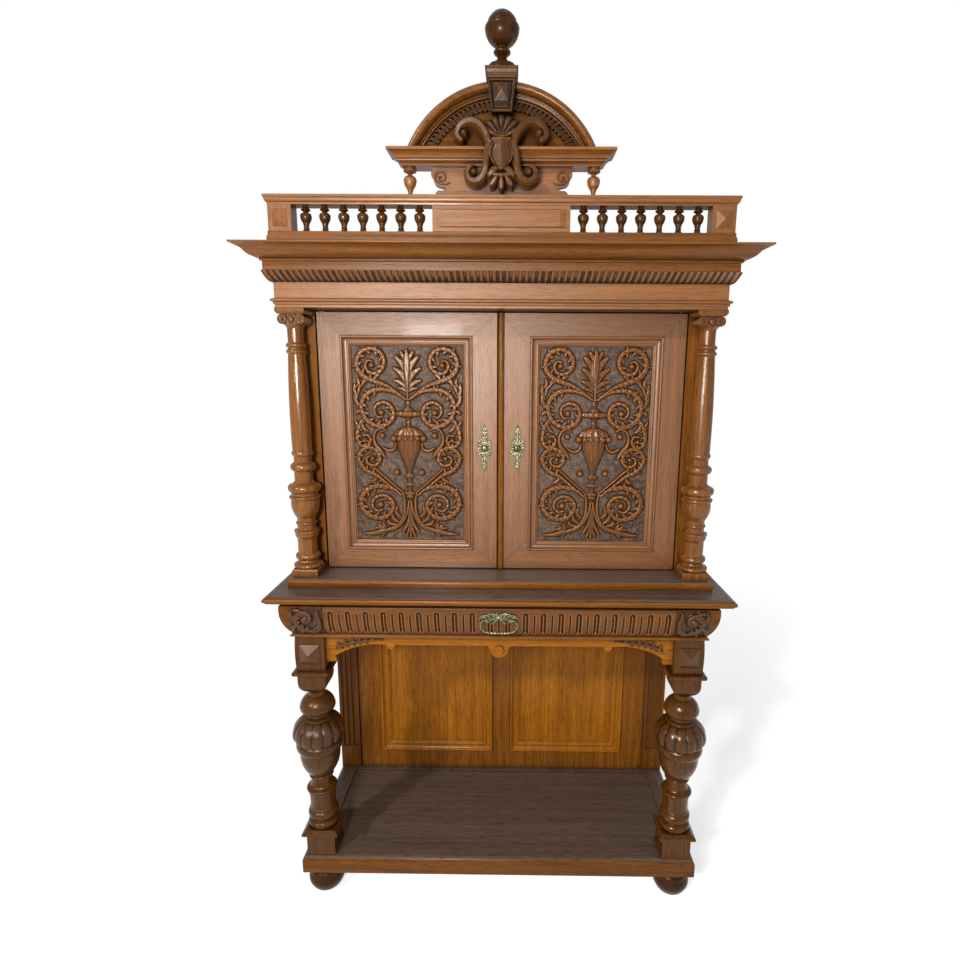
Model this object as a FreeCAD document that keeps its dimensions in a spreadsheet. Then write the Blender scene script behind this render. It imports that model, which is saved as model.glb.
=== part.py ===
import FreeCAD, Part
import math
import os

import Sketcher

# Driving dimensions in millimetres. +Z is up, the front faces -Y, and the origin is on the
# floor under the middle of the cabinet.
SIZES = {
    # serving top, which sets the footprint
    "table_width": 1306.0,
    "table_depth": 515.0,
    "table_thickness": 34.5,
    "table_undercut": 36.0,
    "step_end_overhang": 7.0,
    "step_front_overhang": 24.0,
    "step_thickness": 21.0,
    # plinth, shelf and feet
    "foot_height": 84.0,
    "foot_radius": 55.0,
    "plinth_width": 1206.0,
    "plinth_depth": 475.0,
    "plinth_height": 55.0,
    "plinth_round": 14.0,
    "plinth_rail_width": 60.0,
    "shelf_drop": 3.0,
    "shelf_thickness": 20.0,
    # front legs
    "leg_inset": 56.0,
    "pedestal_width": 91.0,
    "pedestal_height": 65.0,
    "pedestal_cap_width": 109.0,
    "pedestal_cap_height": 19.0,
    "leg_turning_height": 449.0,
    "leg_bulb_radius": 74.0,
    "cup_height": 62.0,
    "cup_width": 82.0,
    "leg_abacus_width": 106.0,
    "leg_abacus_height": 17.0,
    "die_width": 86.0,
    "die_height": 107.0,
    # framed back of the open stage
    "back_frame_thickness": 24.0,
    "back_frame_setback": 38.0,
    "back_stile_width": 83.0,
    "back_muntin_width": 66.0,
    "back_bottom_rail_height": 70.0,
    "back_top_rail_height": 46.0,
    "back_panel_thickness": 9.0,
    "back_panel_sink": 6.0,
    "back_moulding_width": 36.0,
    "back_moulding_height": 12.0,
    "pilaster_width": 72.0,
    "pilaster_depth": 44.0,
    "pilaster_inset": 4.0,
    # drawer stage
    "bead_height": 12.0,
    "bead_reach": 9.0,
    "case_height": 92.0,
    "case_swell": 27.5,
    "case_block_width": 94.0,
    "case_block_depth": 70.0,
    "case_rail_thickness": 26.0,
    "case_back_thickness": 18.0,
    "drawer_end_gap": 1.5,
    "drawer_running_gap": 0.4,
    "drawer_front_thickness": 20.0,
    "drawer_side_inset": 1.0,
    "drawer_guide_height": 20.0,
    "drawer_guide_width": 18.0,
    "drawer_side_thickness": 12.0,
    "drawer_side_height": 72.0,
    "drawer_length": 390.0,
    "drawer_bottom_thickness": 7.0,
    "drawer_bottom_lift": 10.0,
    # shaped rail under the drawer stage
    "apron_thickness": 20.0,
    "apron_setback": 15.0,
    "bracket_height": 83.0,
    "hub_drop": 40.0,
    "boss_radius": 13.0,
    "boss_height": 7.0,
    # drawer pull and lock
    "pull_plate_width": 119.0,
    "pull_plate_height": 43.0,
    "pull_plate_thickness": 2.0,
    "pull_drop_from_case_top": 30.0,
    "pull_ear_width": 6.0,
    "pull_ear_reach": 9.0,
    "pull_ear_height": 8.0,
    "pull_ear_spread": 70.0,
    "bail_pin_radius": 1.8,
    "bail_pin_length": 13.0,
    "bail_drop": 40.0,
    "bail_thickness": 5.0,
    "bail_stand_off": 3.0,
    "pin_clearance": 0.3,
    "lock_width": 60.0,
    "lock_height": 46.0,
    "lock_thickness": 12.0,
    "bolt_width": 18.0,
    "bolt_thickness": 5.0,
    "bolt_length": 30.0,
    "bolt_throw": 6.0,
    "bolt_clearance": 0.5,
    # upper cabinet
    "cabinet_width": 1208.0,
    "cabinet_depth": 316.5,
    "cabinet_height": 758.5,
    "cabinet_side_thickness": 20.0,
    "cabinet_top_thickness": 20.0,
    "cabinet_back_thickness": 10.0,
    "cabinet_back_inset": 6.0,
    "face_stile_width": 76.0,
    "face_stile_thickness": 22.0,
    "inner_shelf_thickness": 18.0,
    "inner_shelf_setback": 50.0,
    # doors
    "door_gap": 3.0,
    "door_hinge_gap": 3.5,
    "door_setback": 3.0,
    "door_thickness": 24.0,
    "door_outer_stile": 63.5,
    "door_inner_stile": 74.0,
    "door_top_rail": 64.0,
    "door_bottom_rail": 57.0,
    "door_panel_thickness": 12.0,
    "door_panel_sink": 10.0,
    "door_moulding_width": 28.0,
    "door_moulding_height": 15.0,
    "astragal_width": 18.0,
    "astragal_height": 8.0,
    "pivot_inset": 18.0,
    "pivot_setback": 6.0,
    "pivot_radius": 4.0,
    "pivot_depth": 14.0,
    "pivot_clearance": 0.25,
    "escutcheon_width": 41.0,
    "escutcheon_height": 136.0,
    "escutcheon_thickness": 2.0,
    "escutcheon_offset": 48.0,
    "escutcheon_level": 371.0,
    "door_lock_width": 62.0,
    "door_lock_height": 90.0,
    "top_bolt_length": 120.0,
    "top_bolt_width": 12.0,
    "top_bolt_throw": 9.0,
    # columns
    "column_inset": 36.0,
    "column_stand_off": 49.0,
    "column_plinth_width": 76.0,
    "column_plinth_height": 22.0,
    "column_lip_radius": 46.5,
    "volute_radius": 13.5,
    "volute_spread": 47.0,
    "volute_depth": 62.0,
    "abacus_width": 79.0,
    "abacus_height": 16.0,
    # entablature
    "entablature_setback": 2.0,
    "architrave_height": 24.0,
    "architrave_reach": 8.0,
    "frieze_height": 41.0,
    "frieze_thickness": 20.0,
    "tongue_height": 28.0,
    "tongue_reach": 19.0,
    "cornice_height": 62.0,
    "cornice_reach": 80.0,
    "cornice_board_thickness": 12.0,
    "cornice_wall": 40.0,
    # gallery
    "gallery_overhang": 13.5,
    "gallery_depth": 48.0,
    "gallery_setback": 86.0,
    "gallery_base_height": 40.0,
    "gallery_post_width": 62.0,
    "gallery_centre_width": 361.0,
    "gallery_block_inset": 3.0,
    "baluster_height": 66.0,
    "baluster_radius": 15.0,
    "gallery_cap_height": 23.0,
    "gallery_cap_reach": 9.0,
    # crest
    "crest_board_width": 370.0,
    "crest_board_height": 73.0,
    "crest_board_thickness": 22.0,
    "crest_board_setback": 26.0,
    "drop_spread": 484.0,
    "drop_radius": 17.0,
    "crest_cornice_width": 584.0,
    "crest_cornice_height": 35.0,
    "crest_cornice_reach": 34.0,
    "crest_cornice_depth": 50.0,
    "crest_cornice_forward": 17.5,
    "arch_radius": 270.0,
    "arch_band": 36.0,
    "arch_depth": 52.0,
    "arch_centre_drop": 106.0,
    "arch_setback": 28.0,
    "tympanum_thickness": 22.0,
    "tympanum_sink": 28.0,
    "keystone_width": 66.0,
    "keystone_foot_width": 38.0,
    "keystone_height": 76.0,
    "keystone_depth": 84.0,
    "keystone_forward": 23.0,
    "keystone_cap_reach": 4.0,
    "keystone_cap_width": 82.0,
    "keystone_cap_height": 24.0,
    "finial_height": 144.0,
    "finial_radius": 43.0,
    "cartouche_width": 270.0,
    "cartouche_height": 181.0,
    "cartouche_lift": 6.0,
    "cartouche_edge_thickness": 28.0,
    "cartouche_swell": 42.0,
    # helper length by which cutting and crossing shapes run past what they meet
    "overrun": 130.0,
}

BALUSTERS_A_SIDE = 7
# The sagitta of a quarter circle as a share of its chord.
QUARTER_SHARE = 0.2071

# Turned outlines: radius share, height share, and the sagitta of the run that follows as a
# share of its chord, plus for bulging out and minus for hollow.
LEG_SHARES = [
    (0.54, 0.000, 0.30), (0.54, 0.049, 0), (0.50, 0.055, 0), (0.52, 0.062, 0.25),
    (0.52, 0.125, 0), (0.54, 0.126, 0), (0.54, 0.137, 0), (0.52, 0.142, -0.03),
    (0.56, 0.262, 0), (0.58, 0.267, 0.35), (0.56, 0.291, -0.20), (0.43, 0.334, 0),
    (0.43, 0.365, 0), (0.46, 0.367, 0.30), (0.46, 0.385, 0), (0.45, 0.388, 0.10),
    (0.80, 0.548, 0), (0.81, 0.572, 0), (0.84, 0.574, 0.22), (0.84, 0.643, 0),
    (0.905, 0.650, 0.21), (0.60, 0.802, 0), (0.60, 0.815, 0), (0.48, 0.827, 0),
    (0.46, 0.844, 0), (0.50, 0.848, 0.22), (0.70, 0.895, 0.12), (0.35, 0.972, 0),
    (0.33, 1.000, 0),
]
COLUMN_SHARES = [
    (0.80, 0.000, 0.35), (0.80, 0.020, 0), (0.74, 0.022, -0.15), (0.60, 0.033, 0),
    (0.62, 0.035, 0.35), (0.62, 0.064, 0), (0.60, 0.066, 0), (0.60, 0.126, 0.10),
    (0.72, 0.150, 0), (0.76, 0.153, 0), (0.76, 0.163, -0.15), (0.56, 0.171, 0),
    (0.56, 0.187, 0.40), (0.56, 0.200, 0), (0.56, 0.216, 0.10), (0.85, 0.293, 0),
    (0.86, 0.297, 0.38), (0.86, 0.312, 0), (0.82, 0.313, 0), (0.82, 0.323, 0),
    (0.84, 0.325, 0.30), (0.84, 0.360, -0.12), (0.56, 0.374, 0), (0.56, 0.410, 0),
    (0.58, 0.413, 0.36), (0.58, 0.449, 0), (0.54, 0.452, 0), (0.54, 0.475, 0),
    (0.56, 0.477, 0.25), (0.58, 0.497, 0), (0.58, 0.500, 0.01), (0.49, 0.885, 0),
    (0.50, 0.888, 0.35), (0.50, 0.905, 0), (0.48, 0.909, 0), (0.50, 0.912, 0.35),
    (0.50, 0.929, 0), (0.45, 0.932, 0), (0.46, 0.985, -0.10), (0.62, 1.000, 0),
]
FOOT_SHARES = [
    (0.62, 0.000, 0.10), (0.89, 0.200, 0.16), (0.90, 0.640, 0.14), (0.80, 0.800, -0.10),
    (0.76, 0.900, 0), (0.84, 0.920, 0), (0.84, 1.000, 0),
]
BALUSTER_SHARES = [
    (0.92, 0.000, 0), (0.92, 0.030, -0.12), (0.48, 0.125, 0), (0.48, 0.140, 0.30),
    (0.48, 0.190, 0), (0.44, 0.210, 0), (0.60, 0.360, 0.08), (1.00, 0.590, 0.24),
    (0.42, 0.740, 0), (0.42, 0.770, 0), (0.84, 0.850, 0.20), (0.50, 0.900, 0),
    (0.50, 1.000, 0),
]
DROP_SHARES = [
    (1.10, 0.000, 0), (1.10, 0.040, -0.12), (0.36, 0.160, 0), (0.36, 0.210, 0),
    (0.55, 0.330, 0.08), (1.00, 0.580, 0.22), (0.36, 0.760, 0), (0.36, 0.820, 0),
    (1.00, 0.900, 0), (1.00, 1.000, 0),
]
FINIAL_SHARES = [
    (0.86, 0.000, 0), (0.86, 0.060, 0), (0.80, 0.130, -0.14), (0.26, 0.270, 0),
    (0.47, 0.325, 0.20), (0.47, 0.372, 0), (0.33, 0.400, 0), (0.33, 0.425, 0.14),
    (1.00, 0.690, 0.10), (0.97, 0.755, 0), (0.88, 0.775, 0.08), (0.72, 0.889, 0.11),
    (0.06, 1.000, 0),
]

# Moulding outlines: share of the moulding's reach, share of its height, sagitta share.
TABLE_SHARES = [
    (-1.00, 0.00, -0.12), (-0.62, 0.24, 0), (-0.50, 0.24, 0), (-0.50, 0.32, 0.20),
    (-0.14, 0.50, 0), (-0.05, 0.54, 0.17), (-0.05, 0.84, 0), (-0.22, 0.86, 0),
    (-0.22, 0.94, 0), (-0.36, 1.00, 0),
]
ARCHITRAVE_SHARES = [
    (0.00, 0.00, 0), (0.00, 0.30, 0), (0.30, 0.34, 0.15), (0.40, 0.58, 0),
    (0.95, 0.64, 0.30), (0.95, 0.90, 0), (0.20, 1.00, 0),
]
TONGUE_SHARES = [
    (0.05, 0.00, 0), (0.20, 0.18, 0.10), (0.95, 0.85, 0), (1.00, 0.86, 0), (1.00, 1.00, 0),
]
CORNICE_SHARES = [
    (0.24, 0.00, 0), (0.24, 0.34, 0), (0.29, 0.36, 0.30), (0.29, 0.46, 0),
    (0.38, 0.48, 0.10), (0.66, 0.68, -0.10), (0.95, 0.92, 0), (1.00, 0.93, 0),
    (1.00, 1.00, 0),
]
GALLERY_CAP_SHARES = [
    (0.00, 0.00, 0), (0.10, 0.18, 0.15), (0.70, 0.60, 0), (1.00, 0.78, 0), (1.00, 1.00, 0),
]
CREST_CORNICE_SHARES = [
    (0.00, 0.00, 0), (0.00, 0.12, 0), (0.30, 0.24, 0.35), (0.30, 0.40, 0),
    (0.42, 0.42, -0.10), (0.92, 0.80, 0), (1.00, 0.82, 0), (1.00, 1.00, 0),
]
PANEL_MOULDING_SHARES = [
    (0.00, 0.00, 0), (0.00, 0.90, 0.30), (0.22, 0.90, 0), (0.28, 0.66, -0.12),
    (0.62, 0.42, 0.30), (0.84, 0.38, 0), (1.00, 0.20, 0), (1.00, 0.00, 0),
]

DOCUMENT = FreeCAD.newDocument("buffet_cabinet")
SHEET = DOCUMENT.addObject("Spreadsheet::Sheet", "Sizes")
NODES = []


class Length:
    """A sum of driving dimensions, each times a share, with its value and its expression."""

    def __init__(self, terms):
        self.terms = {name: share for name, share in terms.items() if share}

    def __add__(self, other):
        merged = dict(self.terms)
        for name, share in as_length(other).terms.items():
            merged[name] = merged.get(name, 0) + share
        return Length(merged)

    __radd__ = __add__

    def __mul__(self, share):
        return Length({name: part * share for name, part in self.terms.items()})

    __rmul__ = __mul__

    def __neg__(self):
        return self * -1

    def __sub__(self, other):
        return self + as_length(other) * -1

    def __rsub__(self, other):
        return as_length(other) + self * -1

    def __truediv__(self, count):
        return self * (1 / count)

    @property
    def value(self):
        return sum(share * SIZES[name] for name, share in self.terms.items())

    @property
    def text(self):
        parts = [f"({share!r}) * Sizes.{name}" for name, share in self.terms.items()]
        return " + ".join(parts) or "0"


def as_length(value):
    """The value itself, or an empty length for a plain zero."""
    return value if isinstance(value, Length) else Length({})


class Cells:
    """Gives each driving dimension as an attribute of its own name."""

    def __init__(self, names):
        for name in names:
            setattr(self, name, Length({name: 1}))


s = Cells(SIZES)
ZERO = Length({})


def fill_sheet():
    """Write every driving dimension to the sheet as a named cell."""
    for row, (name, value) in enumerate(SIZES.items(), start=1):
        SHEET.set(f"A{row}", name)
        SHEET.set(f"B{row}", str(value))
        SHEET.setAlias(f"B{row}", name)
    DOCUMENT.recompute()


def bind(thing, path, length):
    """Set one property from a length, bound to the sheet where it isn't zero."""
    if as_length(length).terms:
        thing.setExpression(path, length.text)


def put(thing, x=ZERO, y=ZERO, z=ZERO):
    """Bind the position of an object."""
    bind(thing, "Placement.Base.x", x)
    bind(thing, "Placement.Base.y", y)
    bind(thing, "Placement.Base.z", z)
    return thing


# Outlines. A row is (across, up) or (across, up, sagitta share of the run that follows).


def full_rows(outline):
    return [tuple(row) if len(row) == 3 else tuple(row) + (0,) for row in outline]


def walked_back(run):
    """The same open run from its last point to its first, still bulging the same way."""
    rows = full_rows(run)
    bulges = [row[2] for row in rows[:-1]][::-1] + [0]
    points = [row[:2] for row in rows[::-1]]
    return [point + (bulge,) for point, bulge in zip(points, bulges)]


def mirrored_run(run):
    """The run on the other side of the vertical axis, walked so that outside stays outside."""
    return [(-across, up, bulge) for across, up, bulge in walked_back(run)]


def mirrored(outline):
    """A closed outline on the other side of the vertical axis."""
    rows = full_rows(outline)
    return mirrored_run(rows[:1] + rows[1:] + [rows[0][:2] + (0,)])[:-1]


def both_sides(run):
    """A closed outline made of a run on the right and its mirror on the left. Where the run
    starts or ends on the axis, that point is kept once."""
    right, left = full_rows(run), mirrored_run(run)
    if not as_length(right[0][0]).terms:
        left = left[:-1]
    if not as_length(right[-1][0]).terms:
        right = right[:-1]
    return right + left


def run_of(shares, reach, height, across=ZERO, up=ZERO):
    """A run of points from a table of shares."""
    return [(across + reach * out, up + height * rise, bulge) for out, rise, bulge in shares]


def edge_between(start, end, bulge):
    """A straight edge, or an arc that bulges to the right of its walk."""
    run_x, run_y = end[0] - start[0], end[1] - start[1]
    first, last = FreeCAD.Vector(*start, 0), FreeCAD.Vector(*end, 0)
    if not bulge:
        return Part.LineSegment(first, last)
    middle = FreeCAD.Vector((start[0] + end[0]) / 2 + run_y * bulge,
                            (start[1] + end[1]) / 2 - run_x * bulge, 0)
    return Part.Arc(first, middle, last)


def radius_share(bulge):
    """An arc's radius as a share of its chord, from its sagitta share."""
    return (1 + 4 * bulge * bulge) / (8 * abs(bulge))


def radius_text(start, end, bulge):
    """The expression for an arc's radius, from its chord and its sagitta share."""
    run_x, run_y = end[0] - start[0], end[1] - start[1]
    return f"sqrt(({run_x.text})^2 + ({run_y.text})^2) * {radius_share(bulge)!r}"


def origin_plane(body, role):
    return [feature for feature in body.Origin.OriginFeatures if feature.Role == role][0]


def sketch_on(body, role, outline):
    """A fully dimensioned sketch of one closed outline on an origin plane of the body."""
    rows = full_rows(outline)
    count = len(rows)
    sketch = body.newObject("Sketcher::SketchObject", body.Name + "_outline")
    sketch.AttachmentSupport = [(origin_plane(body, role), "")]
    sketch.MapMode = "FlatFace"
    spots = [(as_length(row[0]).value, as_length(row[1]).value) for row in rows]
    edges = []
    rules = []
    bindings = []
    for index, row in enumerate(rows):
        after = (index + 1) % count
        edges.append(edge_between(spots[index], spots[after], row[2]))
    sketch.addGeometry(edges, False)
    for index, row in enumerate(rows):
        after = (index + 1) % count
        # An arc made through three points runs counter-clockwise, so a hollow one is flipped.
        start_end = (2, 1) if row[2] < 0 else (1, 2)
        next_start = 2 if rows[after][2] < 0 else 1
        rules.append(Sketcher.Constraint("Coincident", index, start_end[1], after, next_start))
        for kind, place in (("DistanceX", 0), ("DistanceY", 1)):
            bindings.append((len(rules), as_length(row[place]).text, bool(row[place].terms)))
            rules.append(Sketcher.Constraint(kind, -1, 1, index, start_end[0],
                                             spots[index][place]))
        if row[2]:
            bindings.append((len(rules), radius_text(row, rows[after], row[2]), True))
            radius = math.dist(spots[index], spots[after]) * radius_share(row[2])
            rules.append(Sketcher.Constraint("Radius", index, radius))
    sketch.addConstraint(rules)
    for number, text, bound in bindings:
        if bound:
            sketch.setExpression(f"Constraints[{number}]", text)
    return sketch


def padded(label, role, outline, length):
    """A body padded from an origin plane along that plane's own normal."""
    body = DOCUMENT.addObject("PartDesign::Body", label)
    body.Label = label
    sketch = sketch_on(body, role, outline)
    pad = body.newObject("PartDesign::Pad", label + "_pad")
    pad.Profile = sketch
    bind(pad, "Length", length)
    return body


def front_plate(label, outline, front, back):
    """A plate drawn from the front, between two depths."""
    return put(padded(label, "XZ_Plane", outline, back - front), y=back)


def bar_across(label, outline, left, right):
    """A bar along X whose section is drawn as depth and height."""
    return put(padded(label, "YZ_Plane", outline, right - left), x=left)


def slab_up(label, outline, low, high):
    """A slab drawn from above, between two heights."""
    return put(padded(label, "XY_Plane", outline, high - low), z=low)


def turned(label, run, x, y, z):
    """A piece turned about a vertical axis, from its run of radii and heights."""
    body = DOCUMENT.addObject("PartDesign::Body", label)
    body.Label = label
    rows = full_rows(run)
    closing = [(ZERO, rows[0][1], 0)]
    if as_length(rows[-1][0]).terms:
        closing = [(ZERO, rows[-1][1], 0)] + closing
    sketch = sketch_on(body, "XZ_Plane", rows + closing)
    revolution = body.newObject("PartDesign::Revolution", label + "_turning")
    revolution.Profile = sketch
    revolution.ReferenceAxis = (sketch, ["V_Axis"])
    revolution.Angle = 360
    return put(body, x, y, z)


def block(label, left, right, front, back, low, high):
    """A plain board given by its faces."""
    box = DOCUMENT.addObject("Part::Box", label)
    box.Label = label
    bind(box, "Length", right - left)
    bind(box, "Width", back - front)
    bind(box, "Height", high - low)
    return put(box, left, front, low)


def rod(label, radius, length, x, y, z, along="Z"):
    """A round pin from one end, along an axis of the frame."""
    cylinder = DOCUMENT.addObject("Part::Cylinder", label)
    cylinder.Label = label
    bind(cylinder, "Radius", radius)
    bind(cylinder, "Height", length)
    turns = {"X": (FreeCAD.Vector(0, 1, 0), 90), "Y": (FreeCAD.Vector(1, 0, 0), -90)}
    if along in turns:
        cylinder.Placement.Rotation = FreeCAD.Rotation(*turns[along])
    return put(cylinder, x, y, z)


def common(label, first, second):
    piece = DOCUMENT.addObject("Part::Common", label)
    piece.Label = label
    piece.Base, piece.Tool = first, second
    return piece


def cut(label, base, tools):
    """A piece less one or more tools."""
    for number, tool in enumerate(tools, start=1):
        piece = DOCUMENT.addObject("Part::Cut", label)
        piece.Label = label if number == len(tools) else f"{label} cut {number}"
        piece.Base, piece.Tool = base, tool
        base = piece
    return base


def fused(label, parts):
    piece = DOCUMENT.addObject("Part::MultiFuse", label)
    piece.Label = label
    piece.Shapes = parts
    return piece


def grouped(label, parts):
    """Separate solids that share one node."""
    piece = DOCUMENT.addObject("Part::Compound", label)
    piece.Label = label
    piece.Links = parts
    return piece


def node(piece, name):
    """Keep a finished piece under its node name."""
    piece.Label = name
    NODES.append(piece)
    return piece


def moulded_slab(label, run, half, front, back):
    """A slab moulded on its front and both ends, with mitred corners. The run gives how far
    it stands out from the half width and the front, and its height."""
    rows = full_rows(run)
    front_run = walked_back([(front - out, up, bulge) for out, up, bulge in rows])
    low, high = rows[0][1], rows[-1][1]
    reach = half + s.overrun
    lengthwise = bar_across(label + " front profile", [(back, low), (back, high)] + front_run,
                            -reach, reach)
    sideways = front_plate(label + " end profile",
                           both_sides([(half + out, up, bulge) for out, up, bulge in rows]),
                           front - s.overrun, back)
    return common(label, lengthwise, sideways)


def four_sided(label, run, x, y, z):
    """A square piece with the same outline on all four sides, from half widths and heights."""
    across = both_sides(run)
    reach = s.overrun
    from_front = front_plate(label + " seen from the front", across, y - reach, y + reach)
    put(from_front, x=x, y=y + reach, z=z)
    from_side = bar_across(label + " seen from the side", across, x - reach, x + reach)
    put(from_side, x=x - reach, y=y, z=z)
    return common(label, from_front, from_side)


def mitred_runs(label, piece, half, front, back, low, high, with_back=False):
    """Split a moulding round a slab into its front, its two returns and, if it has one, its
    back, along 45 degree mitres through the outer corners."""
    out = s.overrun
    deep = s.overrun
    inner, outer = half - deep, half + out
    outlines = [
        [(-outer, front - out), (outer, front - out), (inner, front + deep),
         (-inner, front + deep)],
    ]
    end = back + out if with_back else back
    turn = back - deep if with_back else back
    side = [(outer, front - out), (outer, end), (inner, turn), (inner, front + deep)]
    outlines += [side, mirrored(side)]
    if with_back:
        outlines.append([(-inner, back - deep), (inner, back - deep), (outer, back + out),
                         (-outer, back + out)])
    parts = []
    for number, outline in enumerate(outlines, start=1):
        wedge = slab_up(f"{label} mitre {number}", outline, low, high)
        parts.append(common(f"{label} run {number}", piece, wedge))
    return grouped(label, parts)


def framed(label, left, right, low, high, base, widths, run_shares, height):
    """Four strips mitred into a frame. The strips stand out forwards from the base depth.
    Widths are for the left, right, bottom and top strips; the run's shares are of the width
    (inwards) and of the height (forwards)."""
    wide_left, wide_right, wide_low, wide_high = widths
    inner = (left + wide_left, right - wide_right, low + wide_low, high - wide_high)
    corners = {
        "bottom": [(left, low), (right, low), (inner[1], inner[2]), (inner[0], inner[2])],
        "right": [(right, low), (right, high), (inner[1], inner[3]), (inner[1], inner[2])],
        "top": [(right, high), (left, high), (inner[0], inner[3]), (inner[1], inner[3])],
        "left": [(left, high), (left, low), (inner[0], inner[2]), (inner[0], inner[3])],
    }
    sections = {
        "bottom": [(base - height * out, low + wide_low * into, bulge)
                   for into, out, bulge in run_shares],
        "top": [(base - height * out, high - wide_high * into, bulge)
                for into, out, bulge in run_shares],
        "left": [(left + wide_left * into, base - height * out, bulge)
                 for into, out, bulge in run_shares],
        "right": [(right - wide_right * into, base - height * out, bulge)
                  for into, out, bulge in run_shares],
    }
    strips = []
    for side in ("bottom", "right", "top", "left"):
        section = sections[side]
        if side in ("bottom", "right"):
            section = walked_back(section)
        if side in ("bottom", "top"):
            strip = bar_across(f"{label} {side} strip", section, left, right)
        else:
            strip = slab_up(f"{label} {side} strip", section, low, high)
        wedge = front_plate(f"{label} {side} mitre", corners[side], base - height - s.overrun,
                            base + s.overrun)
        strips.append(common(f"{label} {side}", strip, wedge))
    return grouped(label, strips)


FLAT_STRIP_SHARES = [(0, 0, 0), (0, 1, 0), (1, 1, 0), (1, 0, 0)]

# Levels and faces that several pieces share.
back = s.table_depth / 2
table_half = s.table_width / 2
plinth_half = s.plinth_width / 2
plinth_front = back - s.plinth_depth
plinth_low = s.foot_height
plinth_top = plinth_low + s.plinth_height
leg_x = plinth_half - s.leg_inset
leg_y = plinth_front + s.leg_inset
pedestal_top = plinth_top + s.pedestal_height + s.pedestal_cap_height
cup_low = pedestal_top + s.leg_turning_height
die_top = cup_low + s.cup_height + s.leg_abacus_height + s.die_height
case_low = die_top + s.bead_height
case_top = case_low + s.case_height
case_half = leg_x + s.die_width / 2
case_front = leg_y - s.die_width / 2
table_top_level = case_top + s.table_thickness
step_top = table_top_level + s.step_thickness
cabinet_half = s.cabinet_width / 2
cabinet_front = back - s.cabinet_depth
cabinet_top_level = step_top + s.cabinet_height
column_x = cabinet_half - s.column_inset
column_y = cabinet_front - s.column_stand_off
column_turning_height = (s.cabinet_height - s.column_plinth_height - 2 * s.volute_radius
                         - s.abacus_height)
step_half = cabinet_half + s.step_end_overhang
step_front = column_y - s.column_plinth_width / 2 - s.step_front_overhang
frieze_half = column_x + s.abacus_width / 2 - s.entablature_setback
frieze_front = column_y - s.abacus_width / 2 + s.entablature_setback
frieze_low = cabinet_top_level + s.architrave_height
tongue_low = frieze_low + s.frieze_height
cornice_low = tongue_low + s.tongue_height
cornice_top = cornice_low + s.cornice_height
gallery_half = frieze_half + s.gallery_overhang
gallery_front = frieze_front - s.cornice_reach + s.gallery_setback
gallery_back = gallery_front + s.gallery_depth
gallery_y = gallery_front + s.gallery_depth / 2
rail_top = cornice_top + s.gallery_base_height
cap_low = rail_top + s.baluster_height
gallery_top = cap_low + s.gallery_cap_height
crest_front = gallery_front + s.crest_board_setback
crest_cornice_low = gallery_top + s.crest_board_height
crest_cornice_top = crest_cornice_low + s.crest_cornice_height
arch_centre = crest_cornice_top - s.arch_centre_drop

# Where the doors meet and where they turn.
door_low = step_top + s.door_gap
door_high = cabinet_top_level - s.door_gap
door_front = cabinet_front + s.door_setback
door_back = door_front + s.door_thickness
opening_half = cabinet_half - s.face_stile_width
door_outer = opening_half - s.door_hinge_gap
right_door_edge = -s.astragal_width / 2
left_door_edge = right_door_edge - s.door_gap
pivot_x = door_outer - s.pivot_inset
pivot_y = door_front + s.pivot_setback
escutcheon_z = step_top + s.escutcheon_level

# The swelling section of the drawer stage: it stands out and bulges as it rises.
CASE_BULGE_SHARE = 0.10
case_run = [(ZERO, case_low, CASE_BULGE_SHARE), (s.case_swell, case_top, 0)]
drawer_back_plane = case_front + s.drawer_front_thickness
drawer_half = case_half - s.case_block_width - s.drawer_end_gap
drawer_side_outer = drawer_half - s.drawer_side_inset
drawer_low = case_low + s.drawer_running_gap
drawer_end = drawer_back_plane + s.drawer_length
lock_back = drawer_back_plane + s.lock_thickness
lock_top = case_top - s.drawer_end_gap
bolt_y = drawer_back_plane + s.lock_thickness / 2


def slotted(label, x, y, low, high, wide, thick):
    """A straight cutting box for a bolt, centred in plan."""
    return block(label, x - wide / 2, x + wide / 2, y - thick / 2, y + thick / 2, low, high)


def pyramid_panel(label, x, half, low, high, face, proud, root, steepness=0.5):
    """A faceted panel that rises from a face to a small flat, with its root behind the face."""
    middle = (low + high) / 2
    tall = (high - low) / 2
    tip_wide = half * (1 - steepness)
    tip_tall = tall * (1 - steepness)
    across = [(face + root, low), (face + root, high), (face, high),
              (face - proud, middle + tip_tall), (face - proud, middle - tip_tall), (face, low)]
    upright = [(x - half, face + root), (x - half, face), (x - tip_wide, face - proud),
               (x + tip_wide, face - proud), (x + half, face), (x + half, face + root)]
    bar = bar_across(label + " across", across, x - half - s.overrun, x + half + s.overrun)
    post = slab_up(label + " upright", upright, low - s.overrun, high + s.overrun)
    return common(label, bar, post)


def make_feet():
    feet = []
    for number, (x, y) in enumerate([(leg_x, leg_y), (-leg_x, leg_y), (leg_x, back - s.leg_inset),
                                     (-leg_x, back - s.leg_inset)], start=1):
        run = run_of(FOOT_SHARES, s.foot_radius, s.foot_height)
        feet.append(turned(f"bun foot {number}", run, x, y, ZERO))
    node(grouped("bun feet", feet), "bun_feet")


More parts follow.
